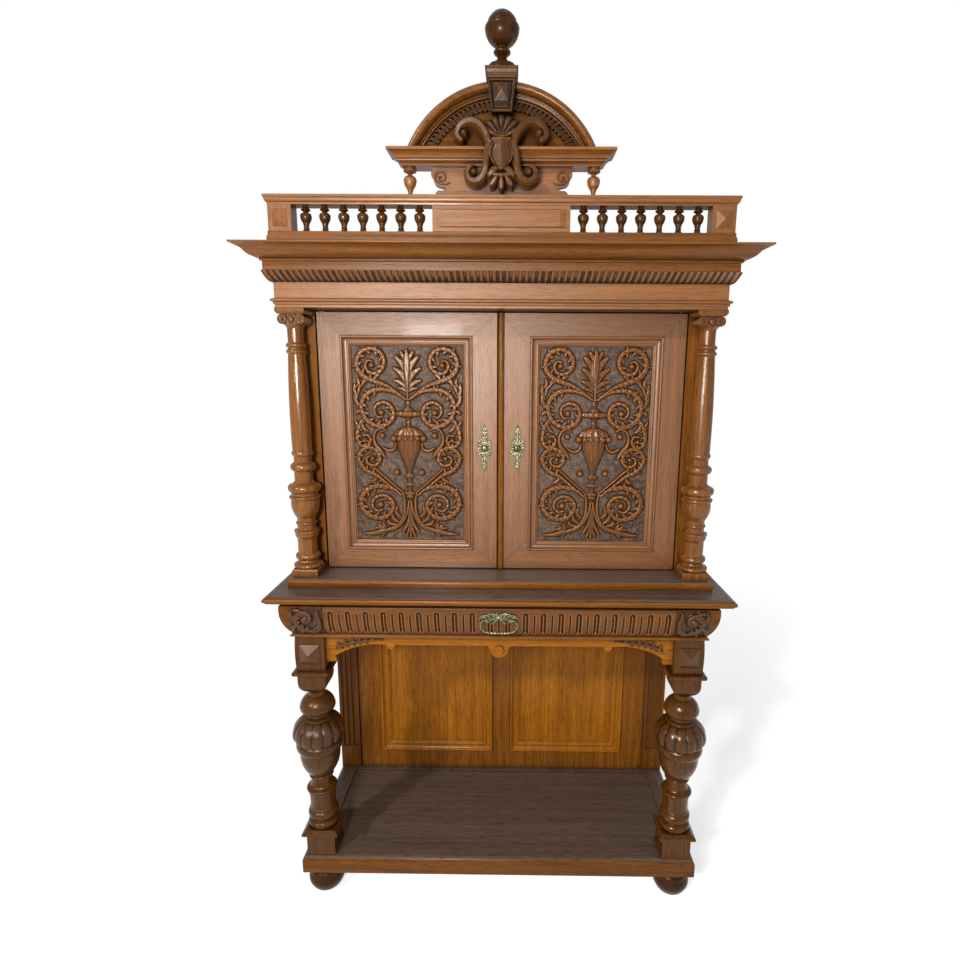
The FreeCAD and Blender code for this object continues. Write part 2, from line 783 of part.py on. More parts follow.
def make_plinth():
    run = [(ZERO, plinth_low, 0), (ZERO, plinth_top - s.plinth_round, QUARTER_SHARE),
           (-s.plinth_round, plinth_top, 0)]
    slab = moulded_slab("plinth outside", run, plinth_half, plinth_front, back)
    inner = plinth_half - s.plinth_rail_width
    inner_front, inner_back = plinth_front + s.plinth_rail_width, back - s.plinth_rail_width
    core = block("plinth inside", -inner, inner, inner_front, inner_back,
                 plinth_low - s.overrun, plinth_top + s.overrun)
    ring = cut("plinth ring", slab, [core])
    rails = mitred_runs("plinth", ring, plinth_half, plinth_front, back,
                        plinth_low, plinth_top, with_back=True)
    node(rails, "plinth_frame")
    shelf_top = plinth_top - s.shelf_drop
    shelf = block("shelf", -inner, inner, inner_front, inner_back,
                  shelf_top - s.shelf_thickness, shelf_top)
    node(shelf, "lower_shelf")


PEDESTAL_SHARES = [(1.00, 0.00, 0), (1.00, 0.10, -0.10), (0.94, 0.24, 0), (0.94, 1.00, 0)]
CAP_SHARES = [(0.90, 0.00, 0), (1.00, 0.20, 0), (1.00, 0.56, 0), (0.82, 1.00, 0)]
CUP_SHARES = [(0.42, 0.00, 0.14), (0.98, 0.56, 0), (1.00, 0.58, 0), (1.00, 1.00, 0)]
LEG_ABACUS_SHARES = [(0.82, 0.00, 0), (0.86, 0.16, 0.20), (1.00, 0.52, 0), (1.00, 0.86, 0),
                     (0.92, 1.00, 0)]
DIE_BULGE_SHARE = 0.02
DIE_FACE_SHARE = 0.95


def leg_die(label, x, side):
    """The block over a leg: cushioned in front and outside, flat where the apron meets it."""
    low, high = die_top - s.die_height, die_top
    half = s.die_width / 2
    flat, swollen = half, half * DIE_FACE_SHARE
    across = [(-flat, low, 0), (swollen, low, DIE_BULGE_SHARE), (swollen, high, 0),
              (-flat, high, 0)]
    if side < 0:
        across = mirrored(across)
    from_front = front_plate(label + " front view", across, leg_y - s.overrun,
                             leg_y + s.overrun)
    put(from_front, x=x, y=leg_y + s.overrun)
    deep = [(leg_y + half, low, 0), (leg_y + half, high, 0),
            (leg_y - swollen, high, DIE_BULGE_SHARE), (leg_y - swollen, low, 0)]
    from_side = bar_across(label + " side view", deep, x - s.overrun, x + s.overrun)
    return common(label, from_front, from_side)


def make_leg(name, side):
    x = leg_x * side
    level = plinth_top
    parts = []
    stages = [
        ("pedestal", PEDESTAL_SHARES, s.pedestal_width, s.pedestal_height),
        ("cap", CAP_SHARES, s.pedestal_cap_width, s.pedestal_cap_height),
        ("turning", LEG_SHARES, s.leg_bulb_radius, s.leg_turning_height),
        ("cup", CUP_SHARES, s.cup_width, s.cup_height),
        ("abacus", LEG_ABACUS_SHARES, s.leg_abacus_width, s.leg_abacus_height),
    ]
    for stage, shares, wide, high in stages:
        if stage == "turning":
            parts.append(turned(f"{name} {stage}", run_of(shares, wide, high), x, leg_y, level))
        else:
            run = run_of(shares, wide / 2, high)
            parts.append(four_sided(f"{name} {stage}", run, x, leg_y, level))
        level = level + high
    parts.append(leg_die(f"{name} die", x, side))
    half = s.die_width * 0.36
    middle = die_top - s.die_height / 2
    parts.append(pyramid_panel(f"{name} facet", x, half, middle - half, middle + half,
                               leg_y - s.die_width * 0.48, s.die_width * 0.07, s.die_width / 4,
                               0.9))
    node(fused(name, parts), name)


def make_lower_back():
    front = back - s.back_frame_setback
    rear = front + s.back_frame_thickness
    outer = plinth_half - s.pilaster_inset - s.pilaster_width
    inner = outer - s.back_stile_width
    muntin = s.back_muntin_width / 2
    low, high = plinth_top + s.back_bottom_rail_height, die_top - s.back_top_rail_height
    boards = [
        block("back stile right", inner, outer, front, rear, plinth_top, die_top),
        block("back stile left", -outer, -inner, front, rear, plinth_top, die_top),
        block("back rail low", -inner, inner, front, rear, plinth_top, low),
        block("back rail high", -inner, inner, front, rear, high, die_top),
        block("back muntin", -muntin, muntin, front, rear, low, high),
    ]
    node(grouped("back framing", boards), "lower_back_frame")
    panel_front = front + s.back_panel_sink
    panels = []
    widths = (s.back_moulding_width,) * 4
    for label, left, right in (("right", muntin, inner), ("left", -inner, -muntin)):
        panels.append(block(f"back panel {label}", left, right, panel_front,
                            panel_front + s.back_panel_thickness, low, high))
        panels.append(framed(f"back moulding {label}", left, right, low, high, panel_front,
                             widths, PANEL_MOULDING_SHARES, s.back_moulding_height))
    node(grouped("back panels", panels), "lower_back_panels")


FLUTES_A_PILASTER = 3
FLUTE_RADIUS_SHARE = 0.11
FLUTE_END_SHARE = 0.12


def make_pilaster(name, side):
    outer = plinth_half - s.pilaster_inset
    inner = outer - s.pilaster_width
    left, right = (inner, outer) if side > 0 else (-outer, -inner)
    front = back - s.pilaster_depth
    board = block(f"{name} board", left, right, front, back, plinth_top, die_top)
    radius = s.pilaster_width * FLUTE_RADIUS_SHARE
    tall = die_top - plinth_top
    tools = []
    for flute in range(FLUTES_A_PILASTER):
        x = left + s.pilaster_width * ((flute + 1) / (FLUTES_A_PILASTER + 1))
        tools.append(rod(f"{name} flute {flute}", radius, tall * (1 - 2 * FLUTE_END_SHARE),
                         x, front - radius / 3, plinth_top + tall * FLUTE_END_SHARE))
    node(cut(name, board, tools), name)


# Across as a share of the half width between the dies, down as a share of the bracket drop.
APRON_SHARES = [
    (0.000, 0.795, 0.20), (0.052, 0.482, -0.20), (0.089, 0.349, 0), (0.603, 0.349, 0.20),
    (0.625, 0.518, 0.20), (0.647, 0.349, -0.09), (0.948, 0.783, 0), (0.940, 0.867, 0.35),
    (0.960, 0.988, 0), (1.000, 1.000, 0), (1.000, 0.000, 0),
]


def make_apron():
    half = leg_x - s.die_width / 2
    front = case_front + s.apron_setback
    run = [(half * out, die_top - s.bracket_height * down, bulge)
           for out, down, bulge in APRON_SHARES]
    board = front_plate("apron board", both_sides(run), front, front + s.apron_thickness)
    boss = rod("apron boss", s.boss_radius, s.boss_height + s.apron_thickness / 2,
               ZERO, front - s.boss_height, die_top - s.hub_drop, along="Y")
    node(fused("apron fused", [board, boss]), "apron")


def make_case():
    """The drawer stage: floor, bead, sides and back, around the drawer's space."""
    rail_inner = case_half - s.case_rail_thickness
    block_inner = drawer_half + s.drawer_end_gap
    section = moulded_slab("case section", case_run, case_half, case_front, back)
    reach = case_half + s.overrun
    fore = case_front - s.overrun
    turn = case_front + s.case_block_depth
    outline = [(block_inner, fore), (reach, fore), (reach, back), (rail_inner, back),
               (rail_inner, turn), (block_inner, turn)]
    for name, plan in (("case_side_right", outline), ("case_side_left", mirrored(outline))):
        plan_slab = slab_up(f"{name} plan", plan, case_low, case_top)
        node(common(name, section, plan_slab), name)
    core = s.bead_height + s.bead_height / 2
    floor_half, floor_front = case_half - core, case_front + core
    guide_back = back - s.case_back_thickness
    boards = [block("floor board", -floor_half, floor_half, floor_front, back, die_top, case_low)]
    for label, left in (("right", block_inner),
                        ("left", -block_inner - s.drawer_guide_width)):
        boards.append(block(f"drawer guide {label}", left, left + s.drawer_guide_width, turn,
                            guide_back, case_low, case_low + s.drawer_guide_height))
    node(grouped("case floor", boards), "case_floor")
    bead_run = [(ZERO, die_top, 0.05), (s.bead_reach, die_top + s.bead_height * 0.55, 0.05),
                (ZERO, case_low, 0)]
    slab = moulded_slab("bead section", bead_run, case_half, case_front, back)
    inside = block("bead inside", -floor_half, floor_half, floor_front, back + s.overrun,
                   die_top - s.overrun, case_low + s.overrun)
    ring = cut("bead ring", slab, [inside])
    bead = mitred_runs("bead", ring, case_half, case_front, back, die_top, case_low)
    node(bead, "case_bead")
    node(block("case back", -rail_inner, rail_inner, guide_back, back, case_low, case_top),
         "case_back")


def make_drawer():
    front_face = walked_back([(case_front - out, up, bulge) for out, up, bulge in case_run])
    outline = [(drawer_back_plane, case_low), (drawer_back_plane, case_top)] + front_face
    bar = bar_across("drawer front bar", outline, -drawer_half, drawer_half)
    fore = case_front - s.overrun
    limits = block("drawer front limits", -drawer_half, drawer_half, fore, drawer_back_plane,
                   case_low + s.drawer_end_gap, lock_top)
    node(common("drawer front", bar, limits), "drawer_front")
    inner = drawer_side_outer - s.drawer_side_thickness
    high = drawer_low + s.drawer_side_height
    sides = [
        block("drawer side right", inner, drawer_side_outer, drawer_back_plane, drawer_end,
              drawer_low, high),
        block("drawer side left", -drawer_side_outer, -inner, drawer_back_plane, drawer_end,
              drawer_low, high),
        block("drawer rear", -inner, inner, drawer_end - s.drawer_side_thickness, drawer_end,
              drawer_low, high),
    ]
    node(grouped("drawer sides", sides), "drawer_box")
    bottom_low = drawer_low + s.drawer_bottom_lift
    bottom = block("drawer floor", -inner, inner, drawer_back_plane,
                   drawer_end - s.drawer_side_thickness, bottom_low,
                   bottom_low + s.drawer_bottom_thickness)
    node(bottom, "drawer_bottom")
    case = block("drawer lock case", -s.lock_width / 2, s.lock_width / 2, drawer_back_plane,
                 lock_back, lock_top - s.lock_height, lock_top)
    wide, thick = (s.bolt_width + 2 * s.bolt_clearance), (s.bolt_thickness + 2 * s.bolt_clearance)
    slot = slotted("drawer lock slot", ZERO, bolt_y, lock_top - s.bolt_length - s.bolt_clearance,
                   lock_top + s.overrun, wide, thick)
    node(cut("drawer lock", case, [slot]), "drawer_lock")
    node(slotted("drawer bolt", ZERO, bolt_y, lock_top - s.bolt_length, lock_top,
                 s.bolt_width, s.bolt_thickness), "drawer_lock_bolt")


# The pull's back plate: across as a share of its half width, up as a share of its height.
PULL_PLATE_SHARES = [
    (0.00, 0.00, 0.10), (0.20, 0.06, 0.20), (0.36, 0.22, -0.15), (0.60, 0.20, 0.25),
    (0.80, 0.34, -0.10), (1.00, 0.50, -0.10), (0.80, 0.66, 0.25), (0.60, 0.80, -0.15),
    (0.36, 0.78, 0.20), (0.20, 0.94, 0.10), (0.00, 1.00, 0),
]
# The bail: across as a share of half the ears' spread, down as a share of its drop.
BAIL_SHARES = [
    (0.00, 1.06, 0), (0.80, 1.06, -0.10), (1.08, 1.00, 0.10), (1.38, 0.78, 0.14),
    (1.46, 0.30, 0.12), (1.27, -0.07, 0.30), (1.11, -0.07, 0), (1.11, 0.06, 0),
    (1.28, 0.36, -0.10), (1.22, 0.72, -0.10), (0.98, 0.86, 0), (0.80, 0.94, 0),
    (0.00, 0.94, 0),
]
KEYHOLE_RADIUS_SHARE = 0.07
pull_z = case_top - s.pull_drop_from_case_top
pull_face = case_front - s.case_swell * 0.985 - s.pull_plate_thickness
bail_y = pull_face - s.bail_stand_off - s.bail_thickness / 2
bail_z = pull_z - s.pull_ear_height / 2
ear_x = s.pull_ear_spread / 2


def keyhole(label, x, front, z, size):
    """The round and the slot of a keyhole, as one cutting piece along the depth."""
    deep = 2 * s.overrun
    eye = rod(label + " eye", size, deep, x, front - s.overrun, z, along="Y")
    slot = block(label + " slot", x - size / 2, x + size / 2, front - s.overrun,
                 front + s.overrun, z - size * 3, z)
    return fused(label, [eye, slot])


def make_pull():
    near = [(case_front - out, up, -bulge) for out, up, bulge in case_run]
    far = walked_back([(y - s.pull_plate_thickness, up, -bulge) for y, up, bulge in near])
    shell = bar_across("pull shell", near + far, -s.overrun, s.overrun)
    low = pull_z - s.pull_plate_height / 2
    run = run_of(PULL_PLATE_SHARES, s.pull_plate_width / 2, s.pull_plate_height, up=low)
    shape = front_plate("pull outline", both_sides(run), case_front - s.overrun,
                        case_front + s.overrun)
    parts = [common("pull leaf", shell, shape)]
    ear_half = s.pull_ear_width / 2
    for side in (1, -1):
        x = ear_x * side
        parts.append(block(f"pull ear {side}", x - ear_half, x + ear_half,
                           pull_face - s.pull_ear_reach, pull_face + s.pull_plate_thickness,
                           bail_z - s.pull_ear_height / 2, bail_z + s.pull_ear_height / 2))
    bore = rod("pull bore", s.bail_pin_radius + s.pin_clearance, 2 * s.overrun,
               -s.overrun, bail_y, bail_z, along="X")
    lock = keyhole("pull keyhole", ZERO, case_front, pull_z,
                   s.pull_plate_height * KEYHOLE_RADIUS_SHARE)
    node(cut("pull plate", fused("pull blank", parts), [bore, lock]), "drawer_pull_plate")
    bail_run = [(ear_x * out, bail_z - s.bail_drop * down, bulge)
                for out, down, bulge in BAIL_SHARES]
    loop = front_plate("bail loop", both_sides(bail_run), bail_y - s.bail_thickness / 2,
                       bail_y + s.bail_thickness / 2)
    start = ear_x - s.pull_ear_width
    pins = [rod("bail pin right", s.bail_pin_radius, s.bail_pin_length, start, bail_y, bail_z,
                along="X"),
            rod("bail pin left", s.bail_pin_radius, s.bail_pin_length,
                -start - s.bail_pin_length, bail_y, bail_z, along="X")]
    node(fused("bail", [loop] + pins), "drawer_pull_bail")


def make_tops():
    run = run_of(TABLE_SHARES, s.table_undercut, s.table_thickness, up=case_top)
    slab = moulded_slab("table slab", run, table_half, -back, back)
    wide, thick = (s.bolt_width + 2 * s.bolt_clearance), (s.bolt_thickness + 2 * s.bolt_clearance)
    mortise = slotted("table mortise", ZERO, bolt_y, case_top - s.overrun,
                      case_top + s.bolt_throw, wide, thick)
    node(cut("table", slab, [mortise]), "table_top")
    edge = s.step_thickness / 2
    step_run = [(ZERO, table_top_level, 0), (ZERO, step_top - edge, QUARTER_SHARE),
                (-edge, step_top, 0)]
    node(moulded_slab("step", step_run, step_half, step_front, back), "step_board")


def make_cabinet():
    inner = cabinet_half - s.cabinet_side_thickness
    stile_back = cabinet_front + s.face_stile_thickness
    rear = back - s.cabinet_back_inset
    back_front = rear - s.cabinet_back_thickness
    for name, side in (("right", 1), ("left", -1)):
        left, right = sorted((inner * side, cabinet_half * side), key=lambda edge: edge.value)
        node(block(f"cabinet side {name}", left, right, stile_back, back, step_top,
                   cabinet_top_level), f"cabinet_side_{name}")
        left, right = sorted((opening_half * side, cabinet_half * side),
                             key=lambda edge: edge.value)
        node(block(f"face stile {name}", left, right, cabinet_front, stile_back, step_top,
                   cabinet_top_level), f"face_stile_{name}")
    node(block("cabinet rear", -inner, inner, back_front, rear, step_top, cabinet_top_level),
         "cabinet_back")
    middle = step_top + s.cabinet_height / 2
    node(block("inner shelf", -inner, inner, cabinet_front + s.inner_shelf_setback, back_front,
               middle, middle + s.inner_shelf_thickness), "cabinet_shelf")
    wall = frieze_half - s.frieze_thickness
    board = block("cabinet lid", -wall, wall, frieze_front + s.frieze_thickness, back,
                  cabinet_top_level, cabinet_top_level + s.cabinet_top_thickness)
    pocket = top_bolt_shape("bolt pocket", cabinet_top_level - s.overrun,
                            cabinet_top_level + s.top_bolt_throw, s.bolt_clearance)
    node(cut("cabinet lid bored", board, [pocket]), "cabinet_top")


COLUMN_PLINTH_SHARES = [(1.00, 0.00, 0), (1.00, 0.80, 0), (0.94, 1.00, 0)]
ABACUS_SHARES = [(0.88, 0.00, 0), (0.94, 0.20, 0.15), (1.00, 0.60, 0), (1.00, 1.00, 0)]


def make_column(name, side):
    x = column_x * side
    level = step_top
    plinth = run_of(COLUMN_PLINTH_SHARES, s.column_plinth_width / 2, s.column_plinth_height)
    parts = [four_sided(f"{name} plinth", plinth, x, column_y, level)]
    level = level + s.column_plinth_height
    run = run_of(COLUMN_SHARES, s.column_lip_radius, column_turning_height)
    parts.append(turned(f"{name} turning", run, x, column_y, level))
    level = level + column_turning_height
    front = column_y - s.volute_depth / 2
    for end in (1, -1):
        parts.append(rod(f"{name} volute {end}", s.volute_radius, s.volute_depth,
                         x + s.volute_spread / 2 * end, front, level + s.volute_radius,
                         along="Y"))
    high = level + 2 * s.volute_radius
    parts.append(block(f"{name} cushion", x - s.volute_spread / 2, x + s.volute_spread / 2,
                       front + s.volute_depth / 16, front + s.volute_depth * 15 / 16,
                       level, high))
    abacus = run_of(ABACUS_SHARES, s.abacus_width / 2, s.abacus_height)
    parts.append(four_sided(f"{name} abacus", abacus, x, column_y, high))
    node(fused(name, parts), name)


def top_bolt_shape(label, low, high, clearance):
    """The dovetailed bar of the left door's bolt, or its groove when given a clearance."""
    x = left_door_edge - s.door_inner_stile / 2
    deep = s.top_bolt_width / 2 + clearance
    wide, narrow = s.top_bolt_width / 2 + clearance, s.top_bolt_width / 3 + clearance
    sink = door_back - deep
    outline = [(x - wide, sink), (x + wide, sink), (x + narrow, door_back),
               (x - narrow, door_back)]
    return slab_up(label, outline, low, high)


# Escutcheon outline: across as a share of its half width, up as a share of its height.
ESCUTCHEON_SHARES = [
    (0.00, 0.000, 0.20), (0.30, 0.050, -0.15), (0.34, 0.140, 0.20), (0.70, 0.200, 0.25),
    (0.60, 0.300, -0.10), (0.94, 0.400, 0.20), (1.00, 0.500, 0.20), (0.94, 0.600, -0.10),
    (0.60, 0.700, 0.25), (0.70, 0.800, 0.20), (0.34, 0.860, -0.15), (0.30, 0.950, 0.20),
    (0.00, 1.000, 0),
]


def door_frame(label, left, right, stiles, pivot, tools):
    """A door's two stiles and two rails, mitred, less its pivot holes and other cuts."""
    widths = stiles + (s.door_bottom_rail, s.door_top_rail)
    frame = framed(label + " framing", left, right, door_low, door_high, door_back, widths,
                   FLAT_STRIP_SHARES, s.door_thickness)
    radius = s.pivot_radius + s.pivot_clearance
    holes = [
        rod(label + " low hole", radius, s.overrun + s.pivot_depth, pivot, pivot_y,
            door_low - s.overrun),
        rod(label + " high hole", radius, s.overrun + s.pivot_depth, pivot, pivot_y,
            door_high - s.pivot_depth),
    ]
    return cut(label, frame, holes + tools)


def make_door(name, side):
    """One door with its moulding, its panel and its escutcheon."""
    tools = []
    if side > 0:
        meeting = s.door_inner_stile + s.astragal_width
        left, right, stiles = right_door_edge, door_outer, (meeting, s.door_outer_stile)
    else:
        meeting = s.door_inner_stile - s.door_gap
        left, right, stiles = -door_outer, left_door_edge, (s.door_outer_stile, meeting)
        tools.append(top_bolt_shape("bolt groove", door_high - s.top_bolt_length,
                                    door_high + s.overrun, s.pin_clearance))
    frame = door_frame(f"{name} door", left, right, stiles, pivot_x * side, tools)
    node(frame, f"{name}_door_frame")
    inner_left, inner_right = left + stiles[0], right - stiles[1]
    low, high = door_low + s.door_bottom_rail, door_high - s.door_top_rail
    panel_front = door_front + s.door_panel_sink
    node(framed(f"{name} door moulding", inner_left, inner_right, low, high, panel_front,
                (s.door_moulding_width,) * 4, PANEL_MOULDING_SHARES, s.door_moulding_height),
         f"{name}_door_moulding")
    node(block(f"{name} door field", inner_left, inner_right, panel_front,
               panel_front + s.door_panel_thickness, low, high), f"{name}_door_panel")
    make_escutcheon(name, side)


def make_escutcheon(name, side):
    x = s.escutcheon_offset * side
    low = escutcheon_z - s.escutcheon_height / 2
    run = run_of(ESCUTCHEON_SHARES, s.escutcheon_width / 2, s.escutcheon_height, up=low)
    front = door_front - s.escutcheon_thickness
    plate = front_plate(f"{name} leaf plate", both_sides(run), front, door_front)
    put(plate, x=x, y=door_front)
    size = s.escutcheon_width * 0.10
    if side > 0:
        piece = cut(f"{name} plate", plate, [keyhole("door keyhole", x, front, escutcheon_z,
                                                     size)])
    else:
        boss = rod(f"{name} boss", size * 2.4, s.escutcheon_thickness * 3, x,
                   front - s.escutcheon_thickness * 2, escutcheon_z, along="Y")
        piece = fused(f"{name} plate", [plate, boss])
    node(piece, f"{name}_escutcheon")


def make_door_fittings():
    half = s.astragal_width / 2
    bead = [(-half, door_front, QUARTER_SHARE), (ZERO, door_front - s.astragal_height,
                                                 QUARTER_SHARE), (half, door_front, 0)]
    node(slab_up("astragal bead", bead, door_low, door_high), "astragal")
    rear = door_back + s.lock_thickness
    middle = (door_back + rear) / 2
    case = block("door lock case", right_door_edge, right_door_edge + s.door_lock_width,
                 door_back, rear, escutcheon_z - s.door_lock_height / 2,
                 escutcheon_z + s.door_lock_height / 2)
    wide = s.bolt_width / 2 + s.bolt_clearance
    thick = s.bolt_thickness / 2 + s.bolt_clearance
    slot = block("door lock slot", right_door_edge - s.overrun,
                 right_door_edge + s.bolt_length + s.bolt_clearance, middle - thick,
                 middle + thick, escutcheon_z - wide, escutcheon_z + wide)
    node(cut("door lock", case, [slot]), "door_lock")
    node(block("door bolt", right_door_edge, right_door_edge + s.bolt_length,
               middle - s.bolt_thickness / 2, middle + s.bolt_thickness / 2,
               escutcheon_z - s.bolt_width / 2, escutcheon_z + s.bolt_width / 2),
         "door_lock_bolt")
    node(top_bolt_shape("top bolt", door_high - s.top_bolt_length + s.bolt_clearance,
                        door_high, ZERO), "left_door_bolt")
    length = s.door_gap + s.pivot_depth - s.bolt_clearance
    pins = []
    for x in (pivot_x, -pivot_x):
        pins.append(rod(f"pivot low {x.value}", s.pivot_radius, length, x, pivot_y, step_top))
        pins.append(rod(f"pivot high {x.value}", s.pivot_radius, length, x, pivot_y,
                        cabinet_top_level - length))
    node(grouped("pivots", pins), "door_pivots")


def mitred_moulding(label, run, half, front, wall, low, high):
    """A hollow moulding round the front and both ends, in three mitred runs."""
    slab = moulded_slab(label + " slab", run, half, front, back)
    core = block(label + " core", -half + wall, half - wall, front + wall, back + s.overrun,
                 low - s.overrun, high + s.overrun)
    ring = cut(label + " ring", slab, [core])
    return mitred_runs(label, ring, half, front, back, low, high)


def make_entablature():
    run = run_of(ARCHITRAVE_SHARES, s.architrave_reach, s.architrave_height,
                 up=cabinet_top_level)
    node(mitred_moulding("architrave run", run, frieze_half, frieze_front, s.frieze_thickness,
                         cabinet_top_level, frieze_low), "architrave")
    run = [(ZERO, frieze_low, 0), (ZERO, tongue_low, 0)]
    run += run_of(TONGUE_SHARES, s.tongue_reach, s.tongue_height, up=tongue_low)
    node(mitred_moulding("frieze run", run, frieze_half, frieze_front, s.frieze_thickness,
                         frieze_low, cornice_low), "frieze")
    run = run_of(CORNICE_SHARES, s.cornice_reach, s.cornice_height, up=cornice_low)
    runs = mitred_moulding("cornice run", run, frieze_half, frieze_front, s.cornice_wall,
                           cornice_low, cornice_top)
    wall = frieze_half - s.cornice_wall
    lid = block("cornice board", -wall, wall, frieze_front + s.cornice_wall, back,
                cornice_top - s.cornice_board_thickness, cornice_top)
    node(grouped("cornice parts", [runs, lid]), "cornice")


BASE_RAIL_SHARES = [(0.00, 0.00, 0), (0.00, 0.62, 0), (-1.00, 0.80, 0), (-1.00, 1.00, 0)]
# Where the balusters stand between the centre block and a corner post.
FIRST_BALUSTER_SHARE = 0.097
BALUSTER_STEP_SHARE = 0.136


def make_gallery():
    run = run_of(BASE_RAIL_SHARES, s.gallery_block_inset, s.gallery_base_height, up=cornice_top)
    node(moulded_slab("gallery base", run, gallery_half, gallery_front, gallery_back),
         "gallery_base_rail")
    inset = s.gallery_block_inset
    outer = gallery_half - inset * 2
    inner = outer - s.gallery_post_width
    centre = s.gallery_centre_width / 2
    front, rear = gallery_front + inset, gallery_back
    facet = s.gallery_post_width / 6
    blocks = []
    for label, left, right in (("right", inner, outer), ("left", -outer, -inner)):
        post = block(f"gallery post {label}", left, right, front, rear, rail_top, cap_low)
        panel = pyramid_panel(f"gallery facet {label}", (left + right) / 2,
                              s.gallery_post_width / 2 - facet, rail_top + facet,
                              cap_low - facet, front, facet, facet, 0.95)
        blocks.append(fused(f"gallery end {label}", [post, panel]))
    middle = block("gallery centre", -centre, centre, front, rear, rail_top, cap_low)
    panel = pyramid_panel("gallery centre panel", ZERO, centre - facet, rail_top + facet,
                          cap_low - facet, front, facet / 3, facet, 0.10)
    blocks.append(fused("gallery centre block", [middle, panel]))
    node(grouped("gallery blocks", blocks), "gallery_posts")
    span = inner - centre
    balusters = []
    for side in (1, -1):
        for number in range(BALUSTERS_A_SIDE):
            x = centre + span * (FIRST_BALUSTER_SHARE + BALUSTER_STEP_SHARE * number)
            run = run_of(BALUSTER_SHARES, s.baluster_radius, s.baluster_height)
            balusters.append(turned(f"baluster {side} {number}", run, x * side,
                                    gallery_y, rail_top))
    node(grouped("balusters", balusters), "gallery_balusters")
    run = run_of(GALLERY_CAP_SHARES, s.gallery_cap_reach, s.gallery_cap_height, up=cap_low)
    node(moulded_slab("gallery cap", run, outer, front, rear), "gallery_cap_rail")


# The crest board's right half: across as a share of its half width, up as a share of its height.
CREST_BOARD_SHARES = [
    (0.94, 0.00, 0), (0.94, 0.14, 0.20), (0.86, 0.24, 0), (0.79, 0.27, 0), (0.80, 0.33, 0),
    (0.88, 0.38, 0.20), (0.97, 0.66, 0), (1.00, 0.74, 0), (1.00, 1.00, 0),
]
# The ring of the arch: in to out as a share of its band, and forward as a share of its depth.
ARCH_SHARES = [
    (0.00, 0.00, 0), (1.00, 0.00, 0), (1.00, 0.84, 0.20), (0.46, 1.00, 0), (0.44, 0.90, 0),
    (0.28, 0.88, 0), (0.24, 0.78, 0), (0.00, 0.72, 0),
]
# The cartouche's right half: across as a share of its half width, up as a share of its height.
CARTOUCHE_SHARES = [
    (0.00, 0.00, 0.05), (0.26, 0.07, 0.05), (0.50, 0.07, 0.20), (0.72, 0.22, 0.35),
    (0.52, 0.33, 0.10), (0.38, 0.27, -0.10), (0.31, 0.42, -0.05), (0.40, 0.56, -0.18),
    (0.78, 0.70, 0), (0.86, 0.58, 0.30), (1.00, 0.70, 0.22), (0.74, 0.89, 0.12),
    (0.48, 0.81, 0), (0.40, 0.88, 0.25), (0.14, 0.98, 0.15), (0.00, 1.00, 0),
]
# Its side view: how far it stands forward, as a share of the swell, and up.
CARTOUCHE_SIDE_SHARES = [(0.00, 1.00, 0.10), (1.00, 0.55, 0.10), (0.00, 0.00, 0)]

arch_front = crest_front - s.arch_setback
arch_back = arch_front + s.arch_depth
tympanum_front = arch_front + s.tympanum_sink
keystone_front = arch_front - s.keystone_forward
keystone_back = keystone_front + s.keystone_depth
keystone_top = arch_centre + s.arch_radius - s.keystone_cap_height / 3
finial_low = keystone_top + s.keystone_cap_height
crest_cornice_front = crest_front - s.crest_cornice_forward
crest_cornice_back = crest_cornice_front + s.crest_cornice_depth


def make_crest_base():
    half = s.crest_board_width / 2
    run = run_of(CREST_BOARD_SHARES, half, s.crest_board_height, up=gallery_top)
    rear = crest_front + s.crest_board_thickness
    parts = [front_plate("crest panel", both_sides(run), crest_front, rear)]
    for side in (1, -1):
        drop = run_of(DROP_SHARES, s.drop_radius, s.crest_board_height)
        parts.append(turned(f"crest drop {side}", drop, s.drop_spread / 2 * side,
                            (crest_front + rear) / 2, gallery_top))
    node(grouped("crest base", parts), "crest_board")
    run = run_of(CREST_CORNICE_SHARES, s.crest_cornice_reach, s.crest_cornice_height,
                 up=crest_cornice_low)
    half = s.crest_cornice_width / 2 - s.crest_cornice_reach
    return moulded_slab("crest cornice whole", run, half, crest_cornice_front,
                        crest_cornice_back)


def make_keystone():
    """The wedge at the crown of the arch with its cap, from arch back to its faceted front."""
    low = keystone_top - s.keystone_height
    half, foot = s.keystone_width / 2, s.keystone_foot_width / 2
    wedge = front_plate("keystone wedge", [(-foot, low), (foot, low), (half, keystone_top),
                                           (-half, keystone_top)],
                        keystone_front, keystone_back)
    reach = s.keystone_cap_reach
    cap_half = s.keystone_cap_width / 2
    cap = block("keystone cap", -cap_half, cap_half, keystone_front - reach,
                keystone_back + reach, keystone_top, finial_low)
    rim = foot / 4
    facet = pyramid_panel("keystone facet", ZERO, foot - rim, low + rim * 2,
                          keystone_top - rim * 2, keystone_front, rim * 2, rim, 0.8)
    return fused("keystone", [wedge, cap, facet])


